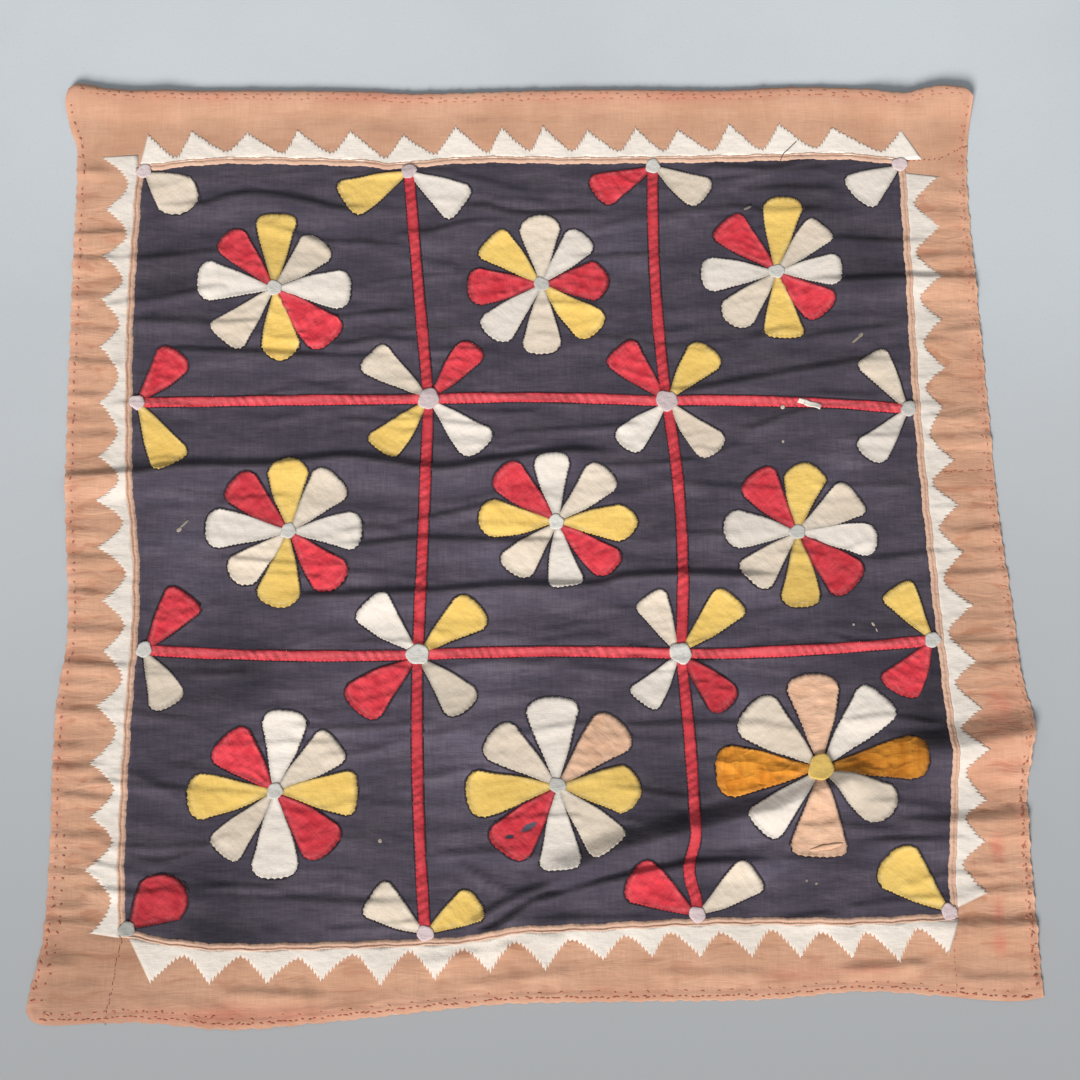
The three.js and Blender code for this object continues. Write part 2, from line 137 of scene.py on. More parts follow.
def plug(tree, value, socket):
    """Links a socket, or sets a plain value."""
    if isinstance(value, bpy.types.NodeSocket):
        tree.links.new(value, socket)
    else:
        socket.default_value = value


def add(tree, kind, inputs, **settings):
    """Adds a node with its settings, and returns its first output."""
    made = tree.nodes.new(kind)
    for name, value in settings.items():
        setattr(made, name, value)
    for name, value in inputs.items():
        plug(tree, value, made.inputs[name])
    return made.outputs[0]


def reckon(tree, operation, *values):
    """One sum or product of values."""
    return add(tree, "ShaderNodeMath", dict(enumerate(values)), operation=operation)


def mix(tree, factor, first, second, mode="MIX"):
    """Mixes two colours."""
    made = tree.nodes.new("ShaderNodeMix")
    made.data_type = "RGBA"
    made.blend_type = mode
    plug(tree, factor, made.inputs[0])
    plug(tree, first, made.inputs[6])
    plug(tree, second, made.inputs[7])
    return made.outputs[2]


def grained(tree, places, stretch):
    """Places in grains, with a number of grains to the metre each way."""
    return add(tree, "ShaderNodeVectorMath", {0: places, 1: stretch}, operation="MULTIPLY")


def noise(tree, places, stretch, detail=2.0, bent=0.0):
    """Soft noise, with a number of grains to the metre each way."""
    inputs = {"Vector": grained(tree, places, stretch), "Scale": 1.0, "Detail": detail, "Distortion": bent}
    return add(tree, "ShaderNodeTexNoise", inputs)


def facets(tree, places, stretch):
    """Dents with sharp edges between them."""
    moved = {0: grained(tree, places, stretch), 1: noise(tree, places, stretch)}
    bent = add(tree, "ShaderNodeVectorMath", moved, operation="ADD")
    return add(tree, "ShaderNodeTexVoronoi", {"Vector": bent, "Scale": 1.0})


def ramp(tree, value, low, high, to_low=0.0, to_high=1.0):
    """Stretches a span of values to another one, with soft ends."""
    inputs = {"Value": value, "From Min": low, "From Max": high, "To Min": to_low, "To Max": to_high}
    return add(tree, "ShaderNodeMapRange", inputs, interpolation_type="SMOOTHSTEP")


print("screen grey 128 is", [round(v, 3) for v in rgb(128, 128, 128)[:3]], "in linear light")

# %% [markdown]
# ## The floor
# A plain pale floor, painted and a little worn. It is darker towards the viewer, which is painted shade.
# Two sizes of noise keep it from looking like paper. It is only the stage for the panel, so a flat grid
# is enough, wide enough that its edge never shows.

# %% Floor
# Half the width of the floor in metres, and how far under the panel it lies in mm.
FLOOR_HALF = 20
FLOOR_DROP = 0.2
# Where the painted shade of the floor is least and where it is most, in metres along y.
FLOOR_FAR, FLOOR_NEAR = 0.62, -0.72


def painted(name, colour, wear_and_shade):
    """Matt paint with a few scuffed clouds and specks, and painted shade that darkens it towards the viewer.
    """
    material, tree, shader = new_finish(name)
    places = tree.nodes.new("ShaderNodeTexCoord").outputs["Object"]
    cloudy = noise(tree, places, (3, 3, 3), 4)
    grains = noise(tree, places, (420, 420, 420), 2)
    depth = add(tree, "ShaderNodeSeparateXYZ", {0: places}).node.outputs["Y"]
    clouds = mix(tree, ramp(tree, cloudy, 0.3, 0.7, 0, 0.2), colour, wear_and_shade)
    # Painted shade: towards the viewer the floor turns to its darker colour.
    clouds = mix(tree, ramp(tree, depth, FLOOR_FAR, FLOOR_NEAR), clouds, wear_and_shade)
    speckled = mix(tree, ramp(tree, grains, 0.55, 0.8, 0, 0.25), clouds, wear_and_shade)
    plug(tree, speckled, shader.inputs["Base Color"])
    shader.inputs["Roughness"].default_value = 0.75
    shader.inputs["Specular IOR Level"].default_value = 0.2
    return material


def to_mesh(bm, name):
    """Keeps a finished bmesh as a mesh."""
    mesh = bpy.data.meshes.new(name)
    bm.to_mesh(mesh)
    bm.free()
    return mesh


bm = bmesh.new()
bmesh.ops.create_grid(bm, x_segments=4, y_segments=4, size=FLOOR_HALF)
bmesh.ops.translate(bm, verts=bm.verts[:], vec=(0, 0, -FLOOR_DROP * MM))
floor = in_scene("floor", to_mesh(bm, "floor"))
floor.data.materials.append(painted("floor_paint", rgb(203, 209, 214), rgb(166, 168, 171)))
print("floor of", len(floor.data.polygons), "faces")

# %% [markdown]
# ## The outlines
# The panel was cut and sewn by eye, so none of its edges is straight. Each side of the hem and of the
# dark ground is a short table of points with a smooth line through them. Top and bottom run from left
# to right, the other two from top to bottom. All tables are in millimetres.

# %% Edge lines
HEM = {
    "top": [(-478, 481), (-466, 488), (-420, 479), (-310, 477), (-170, 474), (-110, 470), (60, 472),
            (200, 469), (280, 472), (350, 468), (388, 461), (429, 469), (456, 466), (464, 457)],
    "right": [(464, 457), (455, 400), (452, 340), (455, 221), (458, 117), (461, 0), (468, -86),
              (472, -155), (481, -205), (475, -245), (469, -290), (470, -404), (472, -470)],
    "bottom": [(-481, -470), (-462, -482), (-376, -480), (-290, -488), (-204, -483), (-82, -472),
               (-20, -468), (110, -468), (212, -468), (298, -462), (362, -466), (437, -473),
               (472, -470)],
    "left": [(-478, 481), (-481, 466), (-475, 437), (-466, 400), (-466, 273), (-465, 83), (-462, 0),
             (-457, -70), (-457, -118), (-465, -190), (-465, -325), (-468, -401), (-479, -454),
             (-481, -470)],
}
GROUND = {
    "top": [(-398, 388), (-309, 395), (-174, 390), (-138, 386), (-55, 392), (64, 389), (199, 389),
            (317, 390), (383, 383)],
    "right": [(383, 383), (383, 234), (383, 131), (385, 46), (391, -96), (396, -188), (399, -240),
              (395, -293), (390, -345), (389, -390)],
    "bottom": [(-390, -394), (-335, -405), (-270, -409), (-125, -407), (-60, -404), (-20, -397),
               (48, -395), (171, -391), (290, -393), (389, -390)],
    "left": [(-398, 388), (-402, 260), (-402, 180), (-398, 58), (-389, -25), (-387, -96),
             (-391, -192), (-393, -315), (-390, -394)],
}
# Which way each side runs, and which way it faces.
ALONG = {"top": (1, 0), "right": (0, -1), "bottom": (1, 0), "left": (0, -1)}
OUT = {"top": (0, 1), "right": (1, 0), "bottom": (0, -1), "left": (-1, 0)}


def smooth_line(rows, steps=24):
    """Closely spaced points on a smooth line through the rows."""
    p1 = np.array(rows, float)
    p0 = np.vstack([p1[:1], p1[:-2]])[:, None]
    p3 = np.vstack([p1[2:], p1[-1:]])[:, None]
    p1, p2 = p1[:-1, None], p1[1:, None]
    t = (np.arange(steps) / steps)[None, :, None]
    bent = (2 * p0 - 5 * p1 + 4 * p2 - p3) * t**2 + (3 * p1 - p0 - 3 * p2 + p3) * t**3
    points = 0.5 * (2 * p1 + (p2 - p0) * t + bent)
    return np.vstack([points.reshape(-1, 2), np.array(rows[-1:], float)])


LINES = {
    "hem": {side: smooth_line(rows) for side, rows in HEM.items()},
    "ground": {side: smooth_line(rows) for side, rows in GROUND.items()},
}


def beside(outline, side, place, out):
    """Points by their place along a side and their distance out from its line."""
    line = LINES[outline][side]
    edge = np.interp(place, line @ ALONG[side], line @ OUT[side])
    return np.multiply.outer(place, ALONG[side]) + np.multiply.outer(edge + out, OUT[side])


def ends(outline, side):
    """The places at which a side starts and ends."""
    line = LINES[outline][side]
    return line[0] @ ALONG[side], line[-1] @ ALONG[side]


def length_of(line):
    """The length of a line of points."""
    return np.hypot(*np.diff(line, axis=0).T).sum()


for outline, sides in LINES.items():
    print(outline, {side: round(length_of(line)) for side, line in sides.items()}, "mm")

# %% [markdown]
# ## Creases
# The panel has been folded for storage and does not lie flat. A cloth simulation would fold it anywhere,
# but these folds have their places, so each crease is a row in a table: a line on its dark far side,
# a steep width beyond it, a gentle width on the near side, and a height. Short creases also run in from
# the hem, and have one of three forms.

# %% Creases
# A crease: points on its dark far side, steep width, gentle width, height.
CREASES = [
    ([(-335, 352), (-298, 363), (-258, 361), (-196, 345)], 9, 34, 4.4),
    ([(-398, 293), (-325, 300)], 8, 24, 2.8),
    ([(-42, 346), (-23, 338), (0, 336), (53, 336)], 8, 30, 3.8),
    ([(-103, 317), (-65, 328), (-33, 330)], 8, 30, 3.8),
    ([(65, 287), (113, 289)], 7, 24, 2.2),
    ([(-343, 193), (-233, 185), (-176, 183)], 8, 34, 4.2),
    ([(-186, 196), (-152, 203), (-131, 200)], 8, 26, 3.2),
    ([(-461, 59), (-397, 63), (-346, 69), (-265, 69), (-194, 76), (-152, 72), (-92, 62), (-38, 70),
      (38, 78)], 8, 36, 6.6),
    ([(-396, 47), (-316, 39)], 7, 16, 1.8),
    ([(-163, -15), (-110, -11), (-3, -15)], 8, 32, 3.8),
    ([(-200, -67), (-107, -65), (-33, -61), (61, -60), (88, -53), (156, -51), (203, -54)], 8, 34, 6.0),
    ([(150, -9), (184, -10)], 7, 22, 2.2),
    ([(338, -38), (386, -33)], 8, 24, 2.8),
    ([(-34, -109), (6, -115)], 7, 20, 2.2),
    ([(324, 304), (383, 299)], 8, 24, 2.8),
    ([(322, 258), (383, 260), (460, 256)], 9, 34, 4.8),
    ([(160, 141), (240, 156), (330, 170)], 9, 34, 4.0),
    ([(-42, -397), (-19, -380), (-6, -369), (11, -366), (38, -358), (76, -350), (147, -337), (205, -335)],
     7, 22, 5.6),
    ([(335, -317), (392, -316)], 8, 26, 5.0),
    ([(-59, -389), (-34, -371), (-12, -362), (20, -349)], 9, 9, 5.0),
    ([(30, -334), (67, -317), (96, -309), (139, -298), (173, -290), (200, -284), (230, -278), (256, -267),
      (301, -251)], 24, 26, 10.0),
    ([(-70, -334), (-49, -349), (-29, -360), (-12, -368)], 6, 10, 2.2),
    ([(-24, -385), (18, -386), (94, -388)], 6, 13, 1.6),
    ([(160, -309), (167, -301), (175, -293)], 4, 7, 1.4),
    ([(364, -296), (391, -298)], 7, 20, 2.2),
    ([(-386, -241), (-333, -269)], 8, 24, 2.2),
    ([(-340, -357), (-150, -370)], 9, 32, 2.8),
    ([(384, -218), (414, -216), (484, -203)], 32, 46, 10.5),
    ([(385, -298), (472, -294)], 14, 36, 5.6),
    ([(390, -397), (472, -397)], 12, 32, 3.8),
    ([(-470, 490), (-425, 484), (-380, 484)], 18, 36, 7.0),
    ([(-380, 484), (0, 480), (380, 476)], 18, 30, 4.0),
    ([(380, 474), (420, 478), (460, 472)], 18, 42, 9.0),
]
# Short creases of the border, from the hem inwards: both ends and a strength from 1 to 3.
BORDER_CREASES = [
    (-457, 321, -425, 322, 2), (-459, 309, -441, 310, 1), (-470, 294, -438, 293, 3),
    (-465, 253, -441, 253, 1), (-466, 215, -436, 215, 2), (-460, 182, -423, 178, 2),
    (-465, 144, -440, 143, 1), (-462, 101, -430, 102, 2), (-463, 80, -436, 80, 1),
    (-466, 62, -419, 59, 3), (-460, 28, -424, 26, 1), (-459, 4, -434, 3, 1), (-460, -25, -422, -25, 2),
    (-457, -61, -427, -61, 2), (-454, -98, -408, -99, 2), (-460, -132, -407, -136, 3),
    (-461, -152, -433, -153, 1), (-462, -177, -427, -180, 2), (-463, -234, -430, -234, 2),
    (-463, -248, -434, -249, 1), (-463, -260, -419, -266, 2), (-464, -300, -422, -303, 1),
    (-465, -336, -426, -338, 1), (-467, -383, -434, -384, 1), (-476, -425, -451, -424, 2),
    (400, 281, 448, 282, 2), (422, 255, 445, 256, 1), (417, 243, 455, 243, 1), (430, 201, 456, 203, 2),
    (402, 190, 427, 191, 2), (404, 109, 440, 109, 2), (403, 86, 456, 88, 1), (404, 13, 461, 12, 1),
    (419, -12, 465, -9, 2), (418, -32, 463, -31, 1), (416, -55, 466, -53, 2), (416, -99, 464, -98, 1),
    (413, -125, 468, -125, 2), (438, -149, 470, -145, 2), (413, -307, 469, -306, 1),
    (419, -367, 469, -365, 2), (411, -340, 465, -339, 1), (-280, -452, -215, -456, 2),
    (-240, -470, -170, -468, 1), (-100, -425, -30, -412, 2), (-60, -446, 20, -438, 1),
    (300, -438, 352, -434, 2), (120, -440, 200, -442, 1), (-30, 455, 60, 457, 1),
]
# Steep width, gentle width and height for each strength.
CREASE_FORMS = {1: (6, 14, 1.2), 2: (7, 17, 2.0), 3: (8, 21, 3.2)}
CREASES += [([(x0, y0), (x1, y1)], *CREASE_FORMS[strength]) for x0, y0, x1, y1, strength in BORDER_CREASES]
print(len(CREASES), "creases,", len(BORDER_CREASES), "of them in the border")

# %% [markdown]
# ## Crinkles and waves
# Between the large creases, washed cotton keeps a crowd of fine crinkles and a low swell all over. Only
# their direction, width and number matter, so their places are left to chance. The chance has a fixed
# seed: every run of this notebook draws the same cloth.

# %% Crinkles and waves
CRINKLES = 420
# Spans of x and y in which the crinkles lie, of their lengths and of their steep widths.
CRINKLE_FIELD = [(-392, 388), (-398, 386)]
CRINKLE_LENGTHS, CRINKLE_WIDTHS = (25, 120), (4.5, 8)
WAVE_LENGTHS = np.geomspace(17, 95, 26)
WAVE_STEEPNESS = 0.0055
# A full turn in radians, and the span in which a wave may start.
TURN = 6.2832
ANY_PHASE = (0, 6.28)


def crinkle():
    """A short fine crease somewhere on the ground."""
    x, y = (CHANCE.uniform(*span) for span in CRINKLE_FIELD)
    half, lean = CHANCE.uniform(*CRINKLE_LENGTHS) / 2, CHANCE.normal(0, 0.16)
    steep = CHANCE.uniform(*CRINKLE_WIDTHS)
    points = [(x - half, y - lean * half), (x, y + CHANCE.normal(0, 3)), (x + half, y + lean * half)]
    gentle = steep * CHANCE.uniform(1.6, 2.6)
    return points, steep, gentle, steep * (0.04 + 0.34 * CHANCE.uniform(0, 1) ** 2.5)


CREASES += [crinkle() for _ in range(CRINKLES)]
# Waves: length in mm, direction of travel in degrees, height, start of the wave.
WAVES = [(length, 90 + CHANCE.normal(0, 14), WAVE_STEEPNESS * length, CHANCE.uniform(*ANY_PHASE))
         for length in WAVE_LENGTHS]


def waves(x, y):
    """The low waves, stronger in some places than in others."""
    total = np.zeros_like(x)
    for length, bearing, height, start in WAVES:
        turn = math.radians(bearing)
        total += height * np.sin((x * math.cos(turn) + y * math.sin(turn)) * TURN / length + start)
    patchy = 0.75 + 0.35 * np.sin(x / 83 + 1) * np.sin(y / 57 + 2) + 0.3 * np.sin((x - y) / 131)
    return 0.6 + 0.5 * np.tanh(0.9 * total * patchy)


print(CRINKLES, "crinkles and", len(WAVES), "waves")

# %% [markdown]
# ## The resting height
# Every piece asks one function how high the cloth stands at a place. A crease lifts only the points in
# its own box, which saves most of the work. Where creases meet, their heights are added as cubes, so
# that the higher one wins softly and they don't pile up to towers.

# %% Resting height
CREASE_LINES = [smooth_line(points, 8) for points, *form in CREASES]
CREASE_BOXES = np.array([[*(line.min(axis=0) - 1.5 * gentle), *(line.max(axis=0) + 1.5 * gentle)]
                         for line, (points, steep, gentle, height) in zip(CREASE_LINES, CREASES)])


def crease(number, x, y):
    """How high one crease lifts the points near it, and which points those are."""
    points = CREASE_LINES[number]
    steep, gentle, height = CREASES[number][1:]
    low_x, low_y, high_x, high_y = CREASE_BOXES[number]
    near = (x > low_x) & (x < high_x) & (y > low_y) & (y < high_y)
    x, y = x[near], y[near]
    run = (points[-1] - points[0]) / np.hypot(*(points[-1] - points[0]))
    side = (y - np.interp(x, points[:, 0], points[:, 1])) * run[0] + steep / 2
    past = np.maximum(points[0, 0] - x, 0) + np.maximum(x - points[-1, 0], 0)
    across = np.where(side > 0, side / steep, side / gentle)
    distance = np.minimum(np.hypot(across, past / (1.5 * gentle)), 1)
    return near, height * (0.35 * (1 + np.cos(np.pi * distance)) + 0.3 * (1 - distance) ** 2)


def rest(x, y):
    """How high the underside of the cloth stands over the floor."""
    cubes = np.zeros_like(x)
    low_x, low_y, high_x, high_y = CREASE_BOXES.T
    touched = (low_x < x.max()) & (high_x > x.min()) & (low_y < y.max()) & (high_y > y.min())
    for number in np.nonzero(touched)[0]:
        near, height = crease(number, x, y)
        cubes[near] += height**3
    return np.cbrt(cubes) + waves(x, y)


probe = rest(*np.meshgrid(np.linspace(-380, 380, 60), np.linspace(-390, 385, 60)))
print("the ground stands", probe.min().round(2), "to", probe.max().round(2), "mm over the floor")

# %% [markdown]
# ## Places between four sides
# Every piece of cloth here has four sides, even a petal: its neck, its two long edges and its tip.
# So one helper spreads a grid between four lines, for all of them. The grid lines end up running the way
# the threads of the piece run.

# %% Grid helpers
def spaced(points, shares):
    """Points at given shares of the length of a line."""
    points = np.asarray(points, float)
    steps = np.hypot(*np.diff(points, axis=0).T)
    length = np.concatenate([[0], np.cumsum(steps)])
    wanted = np.asarray(shares) * length[-1]
    return np.stack([np.interp(wanted, length, points[:, k]) for k in (0, 1)], 1)


def between(bottom, top, left, right, across, upward):
    """A grid of places between four sides that meet at their corners."""
    u = np.asarray(across)[None, :, None]
    v = np.asarray(upward)[:, None, None]
    ruled = (1 - v) * bottom[None] + v * top[None] + (1 - u) * left[:, None] + u * right[:, None]
    corners = ((1 - u) * (1 - v) * bottom[0] + u * (1 - v) * bottom[-1]
               + (1 - u) * v * top[0] + u * v * top[-1])
    return np.moveaxis(ruled - corners, 2, 0)


def rim_distance(x, y, sides):
    """How far each point of a grid lies from the nearest of the named sides."""
    reach = []
    for axis, names in ((1, ("left", "right")), (0, ("bottom", "top"))):
        steps = np.hypot(np.diff(x, axis=axis), np.diff(y, axis=axis))
        pad = [(0, 0), (0, 0)]
        pad[axis] = (1, 0)
        run = np.pad(np.cumsum(steps, axis=axis), pad)
        whole = run.take([-1], axis=axis)
        reach += [run] * (names[0] in sides) + [whole - run] * (names[1] in sides)
    return np.min(reach, axis=0)


quarters = spaced(LINES["hem"]["top"], [0.25, 0.5, 0.75])
print("quarters of the top hem at", quarters.round().tolist(), "mm")

# %% [markdown]
# ## Sheets from a grid
# A square grid made by an operator is given thickness with another one, and its points are then moved
# to their places. A part also carries marks, which are values on its points for the finish to read, and
# its place on the cut cloth.

# %% Sheets
# Thickness of the ground and of the border, of a patch on them, and how far a patch is pressed in.
CLOTH, PATCH, SEAT = 1.5, 0.75, 0.3
# Thickness of a grid before its points are moved.
GRID_THICK = 0.1


def points_of(mesh):
    """The points of a mesh, as rows of x, y and z."""
    points = np.empty(len(mesh.vertices) * 3, np.float32)
    mesh.vertices.foreach_get("co", points)
    return points.reshape(-1, 3)


def move_points(mesh, points):
    """Moves the points of a mesh to places in mm."""
    mesh.vertices.foreach_set("co", (points * MM).astype(np.float32).ravel())


def slab(x, y, low, high, tint=0, cut=None, **marks):
    """A closed sheet: a grid of places with a lower and an upper height for each."""
    grids = [x, y, low, high, *(cut or (x, y)), *marks.values()]
    rows, columns = (count - 1 for count in x.shape)
    edge_u = np.array([x[0, 1] - x[0, 0], y[0, 1] - y[0, 0]])
    edge_v = np.array([x[1, 0] - x[0, 0], y[1, 0] - y[0, 0]])
    # A grid that runs clockwise is turned over, so that its upper side faces up.
    if edge_u[0] * edge_v[1] < edge_u[1] * edge_v[0]:
        grids = [np.broadcast_to(grid, x.shape)[:, ::-1] for grid in grids]
    bm = bmesh.new()
    bmesh.ops.create_grid(bm, x_segments=columns, y_segments=rows, size=0.5)
    bmesh.ops.solidify(bm, geom=bm.faces[:], thickness=GRID_THICK)
    bmesh.ops.recalc_face_normals(bm, faces=bm.faces[:])
    for face in bm.faces:
        face.material_index = tint
    mesh = to_mesh(bm, "slab")
    unit = points_of(mesh)
    column = np.rint((unit[:, 0] + 0.5) * columns).astype(int)
    row = np.rint((unit[:, 1] + 0.5) * rows).astype(int)
    flat = [np.broadcast_to(grid, x.shape)[row, column] for grid in grids]
    height = np.where(unit[:, 2] > -GRID_THICK / 2, flat[3], flat[2])
    move_points(mesh, np.stack([flat[0], flat[1], height], 1))
    return {"mesh": mesh, "cut": np.stack(flat[4:6], 1) * MM, "marks": dict(zip(marks, flat[6:]))}


print("the ground is", CLOTH, "mm of cloth, a patch", PATCH, "mm more")

# %% [markdown]
# ## Parts joined into pieces
# What is sewn together moves together, so the parts of a flower or a strip are joined into one object. It
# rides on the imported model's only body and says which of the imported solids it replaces. Its place on the
# cut cloth becomes a UV map, so that the weave follows the cloth and not the floor.

# %% Pieces
def piece(name, parts, materials, slot, *nodes):
    """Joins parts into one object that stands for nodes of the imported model."""
    bm = bmesh.new()
    for part in parts:
        bm.from_mesh(part["mesh"])
        bpy.data.meshes.remove(part["mesh"])
    mesh = to_mesh(bm, name)
    for material in materials:
        mesh.materials.append(material)
    corners = np.empty(len(mesh.loops), np.int32)
    mesh.loops.foreach_get("vertex_index", corners)
    cut = np.concatenate([part["cut"] for part in parts])[corners]
    mesh.uv_layers.new(name="cut").data.foreach_set("uv", cut.astype(np.float32).ravel())
    for label in sorted({label for part in parts for label in part["marks"]}):
        values = [part["marks"].get(label, np.zeros(len(part["cut"]))) for part in parts]
        layer = mesh.attributes.new(label, "FLOAT", "POINT")
        layer.data.foreach_set("value", np.concatenate(values).astype(np.float32))
    mesh.polygons.foreach_set("use_smooth", np.ones(len(mesh.polygons), bool))
    made = in_scene(name, mesh)
    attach(made, "root")
    if nodes:
        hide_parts(*nodes)
    return made


def triangles(made):
    """How many triangles a piece has."""
    return sum(len(face.vertices) - 2 for face in made.data.polygons)


print("the floor has", triangles(floor), "triangles")

# %% [markdown]
# ## Stitches
# A stitch is a short bow of thread that comes up through the cloth and goes down again. A bevelled curve
# would give rounder thread, but there are thousands of stitches. So one small sphere is drawn out into a
# bow and copied to every place where the needle went. Whip stitches cross the folded edge of a patch,
# and running stitches follow a hem.

# %% Bows of thread
def stitches(places, runs, size, tint=0, fine=(4, 2), **marks):
    """Bows of thread as one part: middles in mm, directions, and length, width and height."""
    bm = bmesh.new()
    bmesh.ops.create_uvsphere(bm, u_segments=fine[0], v_segments=fine[1], radius=0.5)
    for face in bm.faces:
        face.material_index = tint
    bow = to_mesh(bm, "bow")
    bm = bmesh.new()
    for _ in places:
        bm.from_mesh(bow)
    mesh = to_mesh(bm, "stitches")
    unit = points_of(bow)
    bpy.data.meshes.remove(bow)
    runs = np.asarray(runs, float)
    runs = runs / np.hypot(*runs.T)[:, None]
    length, width, height = (np.broadcast_to(np.asarray(each, float), len(places))[:, None] for each in size)
    forth = unit[:, 2] * length
    aside = unit[:, 0] * width
    x = places[:, :1] + forth * runs[:, :1] - aside * runs[:, 1:]
    y = places[:, 1:2] + forth * runs[:, 1:] + aside * runs[:, :1]
    z = places[:, 2:] + unit[:, 1] * height
    points = np.stack([x, y, z], 2).reshape(-1, 3)
    move_points(mesh, points)
    each = np.repeat(np.arange(len(places)), len(unit))
    marks = {name: np.broadcast_to(value, len(places))[each] for name, value in marks.items()}
    return {"mesh": mesh, "cut": points[:, :2] * MM, "marks": marks}


sample = stitches(np.zeros((1, 3)), [(1, 0)], (2, 1, 1))
print("a bow of thread has", len(sample["mesh"].polygons), "faces")
bpy.data.meshes.remove(sample["mesh"])

# %% [markdown]
# ## Turned edges
# The edge of a patch is turned under before it is sewn on, so it is round and stands up a little where the
# cloth lies double. Each whip stitch draws it in, by half a millimetre on a disc and by almost three on
# a tooth. That is worth its own helper, because the fine notches are what tells hand sewing from print.

# %% Turned edges
UNEVEN_PULL = (0.6, 1.3)
# The rolled edge: its share of the thickness at the very rim and its radius.
EDGE_SHARE, EDGE_ROLL = 0.4, 0.7
# The ridge over the turned-in cloth: height, distance in and width.
RIDGE, RIDGE_PLACE, RIDGE_WIDTH = 0.1, 2.6, 1.6


def left_of(line):
    """The direction to the left of a line, at each of its points."""
    run = np.gradient(line, axis=0)
    return np.column_stack([-run[:, 1], run[:, 0]]) / np.maximum(np.hypot(*run.T), 1e-6)[:, None]


def drawn_in(x, y, sides, depth):
    """Pulls every second point of the named sides inwards. Returns the stitches that do so."""
    lines = {"left": (np.s_[:, 0], np.s_[:, 1]), "right": (np.s_[:, -1], np.s_[:, -2]),
             "top": (np.s_[-1], np.s_[-2]), "bottom": (np.s_[0], np.s_[1])}
    places, runs = [], []
    for side in sides.split():
        rim, inner = lines[side]
        edge = np.stack([x[rim], y[rim]], -1)
        inward = left_of(edge)
        inside = np.stack([x[inner], y[inner]], -1) - edge
        inward = (inward * np.sign((inward * inside).sum(axis=1, keepdims=True)))[1::2]
        moved = edge[1::2] + inward * depth * CHANCE.uniform(*UNEVEN_PULL, len(inward))[:, None]
        x[rim][1::2], y[rim][1::2] = moved.T
        places.append(moved)
        runs.append(inward)
    return np.concatenate(places), np.concatenate(runs)


def bell(value, middle, width):
    """A soft hump that is 1 at its middle and almost 0 at twice its width."""
    return np.exp(-(((value - middle) / width) ** 2))


def fold_edge(distance, thick):
    """The upper side of a patch over its own floor: a rolled edge, then a soft ridge where the
    turned-in cloth lies double."""
    rolled = EDGE_SHARE + (1 - EDGE_SHARE) * (1 - np.exp(-distance / EDGE_ROLL))
    return thick * rolled + RIDGE * bell(distance, RIDGE_PLACE, RIDGE_WIDTH)


print("a patch stands", fold_edge(np.array([0, 1, 3]), PATCH).round(2), "mm high 0, 1 and 3 mm in")

# %% [markdown]
# ## Cotton
# All the cloth is plain-woven cotton. Threads are noise that is drawn out along the two directions of
# the weave, and a little of it bumps the surface. Wider noise makes streaks and faded clouds. Marks
# that are stored on the points of a piece carry its own tone, its stains and painted shade, and its
# folded edges. One function makes every cotton, because only colours, grain and dents differ between them.

# %% Cotton finish
CLOTH_SURFACE = {"Roughness": 0.9, "Specular IOR Level": 0.15, "Sheen Weight": 0.06, "Sheen Roughness": 0.5}
# How far the threads stand out, in mm.
THREAD_RELIEF = 0.4


def mark(tree, name):
    """A value that is stored on the points of a piece."""
    made = tree.nodes.new("ShaderNodeAttribute")
    made.attribute_name = name
    return made.outputs["Fac"]


